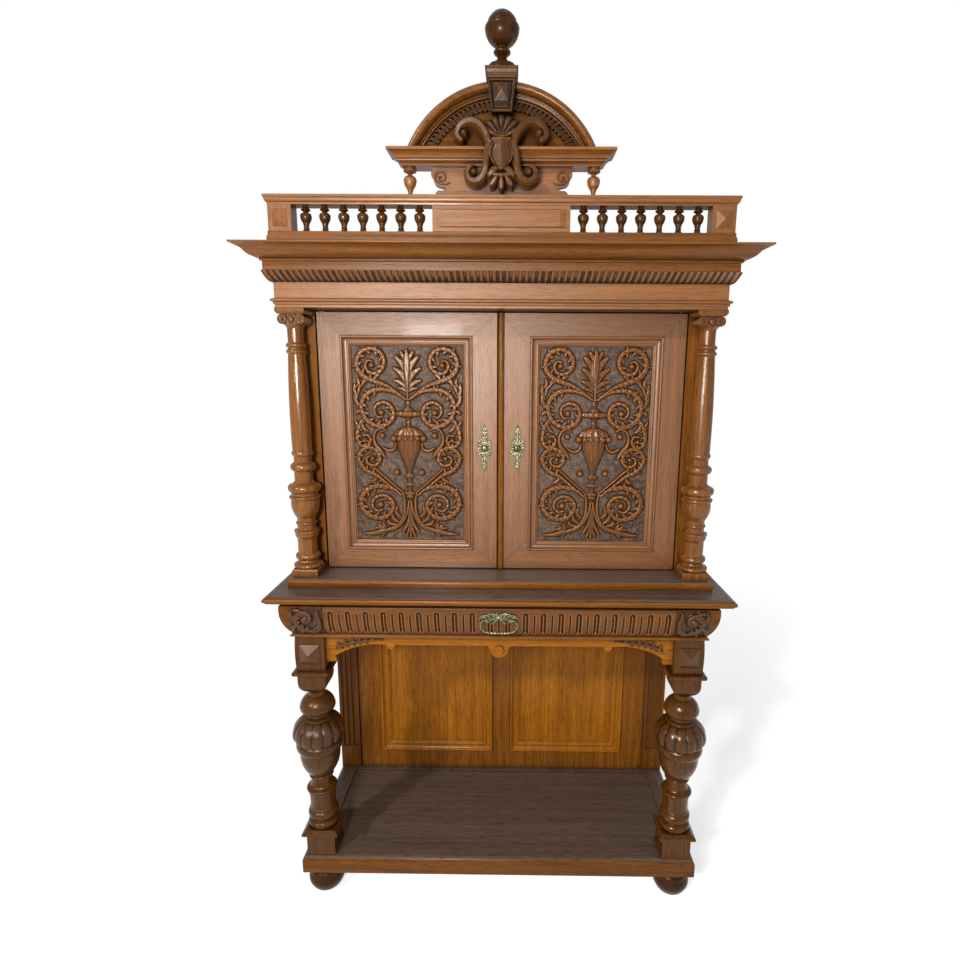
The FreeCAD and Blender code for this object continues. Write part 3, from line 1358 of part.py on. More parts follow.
def make_crest():
    cornice = make_crest_base()
    keystone = make_keystone()
    node(keystone, "crest_keystone")
    inner, band = s.arch_radius - s.arch_band, s.arch_band
    outline = [(inner + band * out, s.arch_depth * deep, bulge)
               for out, deep, bulge in ARCH_SHARES]
    ring = DOCUMENT.addObject("PartDesign::Body", "arch_ring")
    ring.Label = "arch ring"
    revolution = ring.newObject("PartDesign::Revolution", "arch_turning")
    profile = sketch_on(ring, "XZ_Plane", outline)
    revolution.Profile = profile
    revolution.ReferenceAxis = (profile, ["V_Axis"])
    revolution.Angle = 360
    ring.Placement.Rotation = FreeCAD.Rotation(FreeCAD.Vector(1, 0, 0), 90)
    put(ring, ZERO, arch_back, arch_centre)
    above = block("above the crest cornice", -s.arch_radius - s.overrun,
                  s.arch_radius + s.overrun, arch_front - s.overrun, arch_back + s.overrun,
                  crest_cornice_top, arch_centre + s.arch_radius + s.overrun)
    node(cut("arch halves", common("arch", ring, above), [keystone]), "crest_arch")
    disc = rod("tympanum disc", inner, s.tympanum_thickness, ZERO, tympanum_front, arch_centre,
               along="Y")
    field = common("tympanum field", disc, above)
    node(cut("tympanum", field, [keystone]), "crest_tympanum")
    make_cartouche(cornice)
    middle = (keystone_front + keystone_back) / 2
    node(turned("finial", run_of(FINIAL_SHARES, s.finial_radius, s.finial_height), ZERO,
                middle, finial_low), "crest_finial")


def make_cartouche(cornice):
    """The carved shield stands on the crest board and the tympanum and laps the cornice."""
    low = gallery_top + s.cartouche_lift
    run = run_of(CARTOUCHE_SHARES, s.cartouche_width / 2, s.cartouche_height, up=low)
    rear = tympanum_front
    shape = front_plate("cartouche outline", both_sides(run), rear - s.overrun, rear)
    face = rear - s.cartouche_edge_thickness
    side = [(face - s.cartouche_swell * out, low + s.cartouche_height * up, bulge)
            for out, up, bulge in CARTOUCHE_SIDE_SHARES]
    side = [(rear, low, 0), (rear, low + s.cartouche_height, 0)] + side
    bar = bar_across("cartouche side view", side, -s.overrun * 2, s.overrun * 2)
    blank = common("cartouche blank", bar, shape)
    node(cut("cartouche", blank, [cornice]), "crest_cartouche")
    node(cornice, "crest_cornice")


def build():
    fill_sheet()
    make_feet()
    make_plinth()
    make_leg("front_leg_left", -1)
    make_leg("front_leg_right", 1)
    make_lower_back()
    make_pilaster("pilaster_left", -1)
    make_pilaster("pilaster_right", 1)
    make_apron()
    make_case()
    make_drawer()
    make_pull()
    make_tops()
    make_cabinet()
    make_column("column_left", -1)
    make_column("column_right", 1)
    make_door("left", -1)
    make_door("right", 1)
    make_door_fittings()
    make_entablature()
    make_gallery()
    make_crest()


def export():
    """Check every finished piece and write it under its node name."""
    DOCUMENT.recompute()
    for thing in DOCUMENT.Objects:
        if "Invalid" in thing.State or "Error" in thing.State:
            raise RuntimeError(f"{thing.Label} did not compute: {thing.State}")
    os.makedirs("parts", exist_ok=True)
    for piece in NODES:
        shape = piece.Shape
        if shape.isNull() or not shape.isValid() or not shape.Solids:
            raise RuntimeError(f"{piece.Label} has no valid solid")
        shape.exportStep(f"parts/{piece.Label}.step")
        print(piece.Label, len(shape.Solids), round(shape.Volume))
    print(len(NODES), "pieces")


build()
export()
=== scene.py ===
"""Carved oak buffet cabinet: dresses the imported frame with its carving, brasswork, finishes and
studio."""
import math

import bmesh
import bpy
import numpy as np
from mathutils import Matrix, Vector


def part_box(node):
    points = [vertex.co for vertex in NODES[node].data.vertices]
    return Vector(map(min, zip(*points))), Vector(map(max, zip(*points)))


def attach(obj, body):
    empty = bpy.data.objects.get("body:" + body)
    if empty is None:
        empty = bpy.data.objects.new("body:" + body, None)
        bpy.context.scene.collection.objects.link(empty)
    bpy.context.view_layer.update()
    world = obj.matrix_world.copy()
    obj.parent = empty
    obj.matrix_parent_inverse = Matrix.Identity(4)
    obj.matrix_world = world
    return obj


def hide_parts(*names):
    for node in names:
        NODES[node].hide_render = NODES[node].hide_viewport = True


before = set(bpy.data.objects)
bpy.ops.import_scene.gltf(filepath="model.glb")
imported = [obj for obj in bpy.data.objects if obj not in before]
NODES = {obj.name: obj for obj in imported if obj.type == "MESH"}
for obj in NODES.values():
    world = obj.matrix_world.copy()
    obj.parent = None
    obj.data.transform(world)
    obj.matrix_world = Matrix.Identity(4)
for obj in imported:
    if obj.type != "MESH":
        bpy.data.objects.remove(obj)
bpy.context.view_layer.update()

bl_info = {
    "name": "Carved Oak Buffet",
    "version": (1, 0, 0),
    "blender": (4, 5, 0),
    "location": "View3D > Sidebar > Buffet",
    "description": "Adds the carving, brasswork and finishes of a two-stage oak buffet",
    "category": "Add Mesh",
}

BOX = {name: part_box(name) for name in NODES}


# Values and node-tree helpers.


FLOAT, COLOUR, VECTOR = "NodeSocketFloat", "NodeSocketColor", "NodeSocketVector"
SIDES = (("left", -1), ("right", 1))


def settings():
    return bpy.context.scene.buffet_finish


def feed(tree, socket, value):
    """Link a value into an input, or set it there when it is a plain one."""
    if hasattr(value, "is_linked"):
        tree.links.new(value, socket)
    else:
        socket.default_value = value


def give(tree, item, **values):
    """A node with its inputs fed by name."""
    for key, value in values.items():
        feed(tree, item.inputs[key.replace("_", " ")], value)
    return item


def add(tree, kind, **inputs):
    """A new node of a kind. Keys that start with p_ are its properties, and the others are
    inputs by name, or by number as i0, i1 and so on."""
    item = tree.nodes.new(kind)
    for key, value in inputs.items():
        if key.startswith("p_"):
            setattr(item, key[2:], value)
    for key, value in inputs.items():
        if key[0] == "i" and key[1:].isdigit():
            feed(tree, item.inputs[int(key[1:])], value)
        elif not key.startswith("p_"):
            give(tree, item, **{key: value})
    return item


def maths(tree, operation, first, second=None):
    values = {"i0": first} if second is None else {"i0": first, "i1": second}
    return add(tree, "ShaderNodeMath", p_operation=operation, **values).outputs[0]


def mix_colour(tree, share, first, second, blend="MIX"):
    return add(tree, "ShaderNodeMix", p_data_type="RGBA", p_blend_type=blend, i0=share,
               i6=first, i7=second).outputs[2]


def multiplied(tree, colour, shade):
    return mix_colour(tree, 1.0, colour, shade, "MULTIPLY")


def mix_vector(tree, share, first, second):
    return add(tree, "ShaderNodeMix", p_data_type="VECTOR", i0=share, i4=first,
               i5=second).outputs[1]


def mix(tree, share, first, second):
    """A value a share of the way from the first to the second."""
    return add(tree, "ShaderNodeMix", i0=share, i2=first, i3=second).outputs[0]


def remap(tree, value, low, high, to_low=0.0, to_high=1.0):
    return add(tree, "ShaderNodeMapRange", p_clamp=True, Value=value, From_Min=low,
               From_Max=high, To_Min=to_low, To_Max=to_high).outputs[0]


def noise(tree, position, scale, detail):
    return add(tree, "ShaderNodeTexNoise", Vector=position, Scale=scale, Detail=detail).outputs


def attribute(tree, name):
    return add(tree, "ShaderNodeAttribute", p_attribute_name=name).outputs["Fac"]


def opaque(colour):
    return (*colour, 1.0)


def new_group(name, inputs, outputs):
    """An empty shader group with its sockets. Inputs are (name, kind, default)."""
    tree = bpy.data.node_groups.new(name, "ShaderNodeTree")
    for label, kind, default in inputs:
        socket = tree.interface.new_socket(label, in_out="INPUT", socket_type=kind)
        socket.default_value = default
    for label, kind in outputs:
        tree.interface.new_socket(label, in_out="OUTPUT", socket_type=kind)
    return tree, tree.nodes.new("NodeGroupInput").outputs, tree.nodes.new("NodeGroupOutput")


def placed(tree, name, **inputs):
    """The outputs of a shared group's node in a tree, with its inputs set by name."""
    item = tree.nodes.new("ShaderNodeGroup")
    item.node_tree = group(name)
    return give(tree, item, **inputs).outputs


def new_material(name):
    """A material with an empty tree, and that tree."""
    material = bpy.data.materials.new(name)
    material.use_nodes = True
    material.node_tree.nodes.clear()
    return material, material.node_tree


# Shared shader groups: the oak's figure, its edge wear with a painted highlight and its painted
# shade in hollows, and the varnished oak made of both.


# How closely each part of the figure is set across the grain, twice, and along it.
BEND_SCALE = (3, 3, 1.1)
RING_SCALE = (62, 62, 0.9)
STREAK_SCALE = (210, 210, 4.0)
PORE_SCALE = (420, 420, 26)
PATCH_SCALE = (2.6, 2.6, 0.7)
BEND_REACH = (0.06, 0.06, 0.0)
PORE_DEPTH = -0.6
EDGE_RADIUS = 0.0022
HOLLOW_REACH = 0.030
PORE_SHADE = (0.42, 0.36, 0.30, 1.0)
# Times the light stain on rubbed edges and ridges: partly wear, partly a painted highlight.
RUBBED_HIGHLIGHT_TONE = (1.5, 1.5, 1.7, 1.0)
# Times the dark stain: the near-black colour of painted shade in hollows, also used for joints.
PAINTED_SHADE_TONE = (0.16, 0.13, 0.10, 1.0)
GROUPS = {}
MADE = {}


def oak_grain_group():
    """Oak figure along one axis: growth rings as long streaks, pores as fine dark dashes, and
    long patches of stain. The input vector already has its grain along Z."""
    tree, start, end = new_group(
        "Oak grain", [("Vector", VECTOR, (0, 0, 0))],
        [("Figure", FLOAT), ("Pores", FLOAT), ("Patches", FLOAT)])

    def stretched(vector, scale):
        laid = add(tree, "ShaderNodeMapping", Vector=vector, Scale=scale).outputs[0]
        return noise(tree, laid, 1.0, 2.0)

    bend = stretched(start["Vector"], BEND_SCALE)[1]
    shifted = add(tree, "ShaderNodeVectorMath", p_operation="MULTIPLY_ADD", i0=bend,
                  i1=BEND_REACH, i2=start["Vector"]).outputs[0]
    rings = remap(tree, stretched(shifted, RING_SCALE)[0], 0.36, 0.64)
    streaks = remap(tree, stretched(shifted, STREAK_SCALE)[0], 0.36, 0.64)
    give(tree, end, Figure=mix(tree, 0.5, rings, streaks),
         Pores=remap(tree, stretched(shifted, PORE_SCALE)[0], 0.52, 0.66),
         Patches=remap(tree, stretched(start["Vector"], PATCH_SCALE)[0], 0.36, 0.64))
    return tree


def turn_group():
    """Lays the grain along X, Y or Z by swapping the position's parts."""
    tree, start, end = new_group("Grain direction",
                                 [("Vector", VECTOR, (0, 0, 0)), ("Along X", FLOAT, 0.0),
                                  ("Along Y", FLOAT, 0.0)], [("Vector", VECTOR)])
    x, y, z = add(tree, "ShaderNodeSeparateXYZ", Vector=start["Vector"]).outputs
    lengthwise = add(tree, "ShaderNodeCombineXYZ", X=z, Y=y, Z=x).outputs[0]
    deep = add(tree, "ShaderNodeCombineXYZ", X=x, Y=z, Z=y).outputs[0]
    turned = mix_vector(tree, start["Along X"], start["Vector"], lengthwise)
    give(tree, end, Vector=mix_vector(tree, start["Along Y"], turned, deep))
    return tree


def wear_group():
    """Masks of edges and of hollows, broken up by noise. The oak lightens its edges as rubbed
    wear with a painted highlight, and darkens its hollows with painted shade. An edge is where
    the surface turns within a couple of millimetres, and a hollow is where its surroundings shade
    it."""
    tree, start, end = new_group("Edge wear and grime", [("Vector", VECTOR, (0, 0, 0))],
                                 [("Edges", FLOAT), ("Hollows", FLOAT), ("Rounded", VECTOR)])
    rounded = add(tree, "ShaderNodeBevel", p_samples=3, Radius=EDGE_RADIUS).outputs[0]
    facing = tree.nodes.new("ShaderNodeNewGeometry").outputs["Normal"]
    turned = add(tree, "ShaderNodeVectorMath", p_operation="DOT_PRODUCT", i0=rounded,
                 i1=facing).outputs["Value"]
    shaded = add(tree, "ShaderNodeAmbientOcclusion", p_samples=5,
                 Distance=HOLLOW_REACH).outputs["AO"]
    broken = noise(tree, start["Vector"], 38.0, 3.0)[0]
    give(tree, end, Rounded=rounded,
         Edges=maths(tree, "MULTIPLY", remap(tree, turned, 0.992, 0.90),
                     remap(tree, broken, 0.35, 0.65)),
         Hollows=maths(tree, "MULTIPLY", remap(tree, shaded, 0.86, 0.30),
                       remap(tree, broken, 0.2, 0.5, 0.7, 1.0)))
    return tree


def oak_finish_group():
    """The varnished oak that every wooden piece shares: its colour from two stains, with painted
    shade in its hollows and a painted highlight on its rubbed edges, and masks for its roughness
    and its bump. Its darkest colour is the painted shade, which also marks the mitre joints."""
    finish = settings()
    tree, start, end = new_group(
        "Oak finish",
        [("Vector", VECTOR, (0, 0, 0)), ("Position", VECTOR, (0, 0, 0)),
         ("Light", COLOUR, (1, 1, 1, 1)), ("Dark", COLOUR, (1, 1, 1, 1))],
        [("Colour", COLOUR), ("Grime", COLOUR), ("Patches", FLOAT), ("Height", FLOAT),
         ("Rounded", VECTOR)])
    light, dark = start["Light"], start["Dark"]
    grain = placed(tree, "grain", Vector=start["Vector"])
    wear = placed(tree, "wear", Vector=start["Position"])
    # The painted shade's colour, from the dark stain.
    shade_colour = multiplied(tree, dark, PAINTED_SHADE_TONE)
    colour = mix_colour(tree, remap(tree, grain["Patches"], 0.0, 1.0, 0.75, 1.0), dark, light)
    figure = maths(tree, "MULTIPLY", grain["Figure"], finish.figure)
    colour = mix_colour(tree, figure, colour, dark)
    pores = maths(tree, "MULTIPLY", grain["Pores"], finish.pores)
    colour = mix_colour(tree, pores, colour, multiplied(tree, colour, PORE_SHADE))
    # Edges lightened: rubbed wear, and a painted highlight along them.
    edges = maths(tree, "MULTIPLY", wear["Edges"], finish.edge_wear)
    colour = mix_colour(tree, edges, colour, multiplied(tree, light, RUBBED_HIGHLIGHT_TONE))
    # Painted shade: hollows darkened by how much their surroundings shade them.
    grime = maths(tree, "MULTIPLY", wear["Hollows"], finish.grime)
    give(tree, end, Colour=mix_colour(tree, grime, colour, shade_colour), Grime=shade_colour,
         Patches=grain["Patches"], Rounded=wear["Rounded"],
         Height=maths(tree, "MULTIPLY", grain["Pores"], PORE_DEPTH))
    return tree


def group(name):
    """A shared node group by its short name, made the first time that it is asked for."""
    makers = {"grain": oak_grain_group, "turn": turn_group, "wear": wear_group,
              "oak": oak_finish_group}
    if name not in GROUPS:
        GROUPS[name] = makers[name]()
    return GROUPS[name]


# Materials: oak and metal.


VARNISH_TINT = (1.0, 0.70, 0.50, 1.0)
CLEAR_TINT = (1.0, 0.84, 0.74, 1.0)
CARVED_SHINE = 0.42
COAT = 0.06
DEEPER = 0.66
# A paler stain that paints light: on the upper works and on the step's top.
PAINTED_LIGHT_PALER = 1.25
STIPPLE_SCALE = 230.0
# How a carving's painted shade falls: none above the first share of its relief, darkest below
# the second, and by how much.
GROUND_MASKS = {"stippled": (0.60, 0.12, 0.82), "plain": (0.70, 0.18, 0.90),
                "rods": (0.85, 0.42, 0.95), "soft": (0.42, 0.04, 0.55)}
# Each kind of carving: its stain and that stain's strength, its gloss and its ground.
CARVINGS = {"doors": ("carving", 1.0, 0.22, "stippled"),
            "corners": ("crest", DEEPER, 0.24, "soft"),
            "crest": ("crest", 1.0, 0.24, "plain"), "legs": ("leg", 1.0, 0.22, "plain"),
            "flutes": ("oak", DEEPER, 0.32, "plain"), "tongues": ("crest", 1.0, 0.22, "rods")}


def stains(name, strength=1.0):
    """The lighter and the darker stain of a kind of piece, each times a strength."""
    finish = settings()
    return {shade: tuple(value * strength for value in getattr(finish, f"{name}_{shade}"))
            for shade in ("light", "dark")}


def seam(tree, first, second):
    """One within a hair's breadth of where two distances are equal."""
    apart = maths(tree, "ABSOLUTE", maths(tree, "SUBTRACT", first, second))
    return remap(tree, apart, 0.0007, 0.0015, 0.85, 0.0)


def direction_masks(tree, position, along):
    """Where the grain runs along X and along Y, and where a mitre's thin joint shows. A plain
    axis gives plain masks; the other words split a mitred frame or moulding by position."""
    if along in ("X", "Y", "Z"):
        return float(along == "X"), float(along == "Y"), 0.0
    kind, numbers = along
    x, y, z = add(tree, "ShaderNodeSeparateXYZ", Vector=position).outputs
    if kind == "middle":
        return maths(tree, "LESS_THAN", maths(tree, "ABSOLUTE", x), numbers), 0.0, 0.0
    if kind == "frame":
        left, right, low, high = numbers
        aside = maths(tree, "MINIMUM", maths(tree, "SUBTRACT", x, left),
                      maths(tree, "SUBTRACT", right, x))
        above = maths(tree, "MINIMUM", maths(tree, "SUBTRACT", z, low),
                      maths(tree, "SUBTRACT", high, z))
        return maths(tree, "LESS_THAN", above, aside), 0.0, seam(tree, above, aside)
    half, front = numbers
    beyond = maths(tree, "SUBTRACT", maths(tree, "ABSOLUTE", x), half)
    before = maths(tree, "SUBTRACT", front, y)
    returns = maths(tree, "GREATER_THAN", beyond, before)
    return maths(tree, "SUBTRACT", 1.0, returns), returns, seam(tree, beyond, before)


def carved_look(tree, position, oak, rubbed_highlight_colour, ground, colour, height, rough):
    """Paint shade on a carving's low ground and in its hollows, and lighten its ridges as rubbed
    wear with a painted highlight, by its relief and hollow attributes. A stippled ground gets
    pits with pale specks between them."""
    finish = settings()
    relief, hollow = attribute(tree, "relief"), attribute(tree, "hollow")
    top, foot, deepest = GROUND_MASKS[ground]
    # Painted shade on the low ground and the slopes of the relief.
    colour = mix_colour(tree, remap(tree, relief, top, foot, 0.0, deepest), colour, oak["Grime"])
    # Ridges lightened: rubbed wear and a painted highlight.
    colour = mix_colour(tree, remap(tree, hollow, 0.47, 0.30, 0.0, 0.75), colour, rubbed_highlight_colour)
    if ground == "stippled":
        pits = add(tree, "ShaderNodeTexVoronoi", Vector=position, Scale=STIPPLE_SCALE).outputs[0]
        patchy = remap(tree, noise(tree, position, 70.0, 3.0)[0], 0.35, 0.65, 0.25, 1.0)
        low = remap(tree, relief, 0.10, 0.02)
        specks = maths(tree, "MULTIPLY", remap(tree, pits, 0.15, 0.6), patchy)
        field = mix_colour(tree, specks, opaque(finish.ground_dark), opaque(finish.ground_light))
        colour = mix_colour(tree, low, colour, field)
        dents = maths(tree, "MULTIPLY", maths(tree, "MULTIPLY", pits, low), 1.8)
        height = maths(tree, "ADD", height, dents)
        rough = maths(tree, "ADD", rough, maths(tree, "MULTIPLY", low, 0.34))
    # Painted shade in the carving's hollows.
    painted_hollow_shade = remap(tree, hollow, 0.52, 0.68, 0.0, 0.92)
    return mix_colour(tree, painted_hollow_shade, colour, oak["Grime"]), height, rough


def oak_material(name, along, light, dark, gloss=0.34, ground=None, tops=None,
                 tint=VARNISH_TINT, shine=0.20):
    """Varnished oak with its grain along an axis, under a thin glossy coat. Carved pieces have a
    kind of ground and no coat, and faces that look up can have a greyer, darker pair of stains,
    partly grime and partly a painted sheen of reflected light."""
    material, tree = new_material(name)
    light, dark = opaque(light), opaque(dark)
    rubbed = light
    coordinates = tree.nodes.new("ShaderNodeTexCoord").outputs
    position = coordinates["Object"]
    across, deep, joint = direction_masks(tree, position, along)
    vector = placed(tree, "turn", Vector=position, Along_X=across, Along_Y=deep)[0]
    # Upward faces: partly grime, partly a painted sheen of reflected light.
    if tops:
        facing = add(tree, "ShaderNodeSeparateXYZ", Vector=coordinates["Normal"]).outputs[2]
        level = remap(tree, facing, 0.55, 0.85)
        light = mix_colour(tree, level, light, opaque(tops["light"]))
        dark = mix_colour(tree, level, dark, opaque(tops["dark"]))
    oak = placed(tree, "oak", Vector=vector, Position=position, Light=light, Dark=dark)
    # Mitre joints are drawn as a thin line in the painted shade's dark colour.
    colour, height = mix_colour(tree, joint, oak["Colour"], oak["Grime"]), oak["Height"]
    rough = remap(tree, oak["Patches"], 0.0, 1.0, gloss + 0.10, gloss)
    if ground:
        colour, height, rough = carved_look(tree, position, oak, multiplied(
            tree, rubbed, RUBBED_HIGHLIGHT_TONE), ground, colour, height, rough)
    bump = add(tree, "ShaderNodeBump", Strength=0.35, Distance=0.0006, Height=height,
               Normal=oak["Rounded"])
    shader = add(tree, "ShaderNodeBsdfPrincipled", Base_Color=colour, Roughness=rough,
                 Normal=bump.outputs[0], Specular_IOR_Level=shine, Specular_Tint=tint,
                 Coat_Weight=0.0 if ground else COAT, Coat_Roughness=0.10)
    add(tree, "ShaderNodeOutputMaterial", Surface=shader.outputs[0])
    return material


def carved_oak(kind):
    """The oak of one kind of carving, made once."""
    if kind not in MADE:
        stain, strength, gloss, ground = CARVINGS[kind]
        MADE[kind] = oak_material(
            f"Carved oak {kind}", "X" if kind == "flutes" else "Z", **stains(stain, strength),
            gloss=gloss, ground=ground, tint=CLEAR_TINT, shine=CARVED_SHINE)
    return MADE[kind]


def metal_material(name, bright, dull, rough=0.36, cast=False):
    """Aged metal: bright where it is rubbed, dull and rougher where the patina stays. A cast
    piece is dark in the low parts of its relief."""
    material, tree = new_material(name)
    position = tree.nodes.new("ShaderNodeTexCoord").outputs["Object"]
    spots = noise(tree, position, 420.0, 3.0)[0]
    mask = remap(tree, spots, 0.45, 0.62)
    shade = opaque(value * 0.2 for value in dull)
    colour = mix_colour(tree, mask, opaque(dull), opaque(bright))
    colour = mix_colour(tree, placed(tree, "wear", Vector=position)["Hollows"], colour, shade)
    if cast:
        low = remap(tree, attribute(tree, "relief"), 0.45, 0.12)
        colour = mix_colour(tree, low, colour, shade)
    bump = add(tree, "ShaderNodeBump", Strength=0.2, Distance=0.0003, Height=spots)
    shader = add(tree, "ShaderNodeBsdfPrincipled", Base_Color=colour, Metallic=1.0,
                 Roughness=remap(tree, mask, 0.0, 1.0, rough + 0.22, rough),
                 Normal=bump.outputs[0])
    add(tree, "ShaderNodeOutputMaterial", Surface=shader.outputs[0])
    return material


# The finish of the frame's own nodes.


BRASS = ("left_escutcheon", "right_escutcheon", "drawer_pull_plate", "drawer_pull_bail")
STEEL = ("drawer_lock", "drawer_lock_bolt", "door_lock", "door_lock_bolt", "left_door_bolt",
         "door_pivots")
# The shade of oak, the way its grain runs, and the nodes. All others are plain, with upright
# grain.
OAK = (
    ("tops", "X", "table_top lower_shelf"), ("step", "X", "step_board"),
    ("plinth", "mitre", "plinth_frame"), ("inside", "X", "apron"),
    ("inside", "Z", "lower_back_panels"), ("deeper", "Z", "pilaster_left pilaster_right"),
    ("deeper", "Y", "case_side_left case_side_right"), ("deeper", "X", "crest_tympanum"),
    ("feet", "Z", "bun_feet"), ("columns", "Z", "column_left column_right"),
    ("turnings", "Z", "gallery_balusters front_leg_left front_leg_right crest_keystone"),
    ("turnings", "Z", "crest_cartouche"), ("finial", "Z", "crest_finial"),
    ("plain", "X", "case_floor case_back drawer_front drawer_bottom drawer_box cabinet_top"),
    ("plain", "X", "cabinet_shelf"), ("upper", "mitre", "case_bead architrave frieze"),
    ("eaves", "mitre", "cornice"), ("eaves", "X", "gallery_base_rail"),
    ("upper", "X", "gallery_cap_rail crest_board crest_cornice"),
    ("upper", "middle", "gallery_posts"), ("doors", "frame", "left_door_frame right_door_frame"),
    ("doors", "frame", "left_door_moulding right_door_moulding"))
BLOCK_HALF = 0.20


def dress(obj, material):
    """Put a material in each of an object's slots, or in a first one."""
    if not obj.data.materials:
        obj.data.materials.append(material)
    for place in range(len(obj.data.materials)):
        obj.data.materials[place] = material


def fit(piece, material, body="case"):
    """Give a new piece its material and its slot, and fix it to a body."""
    dress(piece, material)
    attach(piece, body)


def grain_of(name, way):
    """The way of a node's grain, with the measures that its masks need."""
    low, high = BOX[name]
    measures = {"frame": (low[0], high[0], low[2], high[2]), "mitre": (high[0], low[1]),
                "middle": BLOCK_HALF}
    return (way, measures[way]) if way in measures else way


def finish_frame():
    """Give every carried-over node its wood or metal, with the grain along the board."""
    finish = settings()
    glossy = {"tint": CLEAR_TINT}
    shades = {
        "plain": {},
        "doors": {**stains("door"), **glossy, "gloss": 0.38, "shine": 1.0},
        # The upper works: a paler stain that paints the light falling strongest on them.
        "upper": {**stains("oak", PAINTED_LIGHT_PALER), **glossy, "gloss": 0.38, "shine": 0.90},
        "eaves": {**glossy, "gloss": 0.30, "shine": 0.46},
        "columns": {**glossy, "gloss": 0.17, "shine": 0.55},
        "arch": {**glossy, "gloss": 0.20, "shine": 0.55},
        "feet": {"light": tuple(finish.crest_dark), "dark": tuple(finish.leg_dark)},
        "inside": stains("panel"),
        "deeper": stains("oak", DEEPER),
        # Faces that look up on the plinth, tops and step: partly grime, partly a painted sheen of
        # reflected light; the step's is paler, more painted light.
        "plinth": {**stains("oak", DEEPER), "tops": stains("top")},
        "tops": {"gloss": 0.26, "tops": stains("top")},
        "step": {"gloss": 0.26, "tops": stains("top", PAINTED_LIGHT_PALER)},
        "turnings": {**stains("leg"), "gloss": 0.18, "shine": 0.30},
        "finial": {**stains("leg", DEEPER), "gloss": 0.18, "shine": 0.22},
    }
    shared = {}

    def oak(shade, along):
        key = (shade, along)
        if key not in shared:
            way = along if isinstance(along, str) else f"{along[0]} {len(shared)}"
            look = {**stains("oak"), **shades[shade]}
            shared[key] = oak_material(f"Oak {shade} {way}", along, **look)
        return shared[key]

    MADE["brass"] = metal_material("Aged brass", finish.brass_bright, finish.brass_dull)
    MADE["cast brass"] = metal_material("Cast brass", finish.brass_bright, finish.brass_dull,
                                        cast=True)
    MADE["arch"] = oak("arch", "X")
    steel = metal_material("Old steel", (0.42, 0.41, 0.40), (0.16, 0.14, 0.13), 0.4)
    wood = {name: (shade, grain_of(name, way)) for shade, way, names in OAK
            for name in names.split()}
    for name, obj in NODES.items():
        if name in BRASS:
            dress(obj, MADE["brass"])
        elif name in STEEL:
            dress(obj, steel)
        else:
            dress(obj, oak(*wood.get(name, ("plain", "Z"))))


# Carving: heights laid over a sheet, in metres, and the closed meshes made from them.


# How far apart the points of each kind of carving are.
PANEL_CELL = 0.00145
TONGUE_CELL = 0.0014
CELL = 0.0012
KEYSTONE_CELL = 0.0011
SPRAY_CELL = 0.0009
SCROLL_CELL = 0.0007
FINE_CELL = 0.0006
# How deep the backs of carvings are sunk in the face that they stand on.
SEAT = 0.0012
DEEP_SEAT = 0.0015
SHALLOW_SEAT = 0.0008
BRASS_SEAT = 0.0003
TONGUE_SEAT = 0.004
# Edges that turn by more than these angles stay sharp.
MOULDED_EDGE, CUT_EDGE = math.radians(35), math.radians(60)


def half_round(share):
    """The height of a round of radius one at a share of the way out from its middle, and
    zero past its edge: the root of one less the share squared."""
    return np.sqrt(np.clip(1 - share ** 2, 0, None))


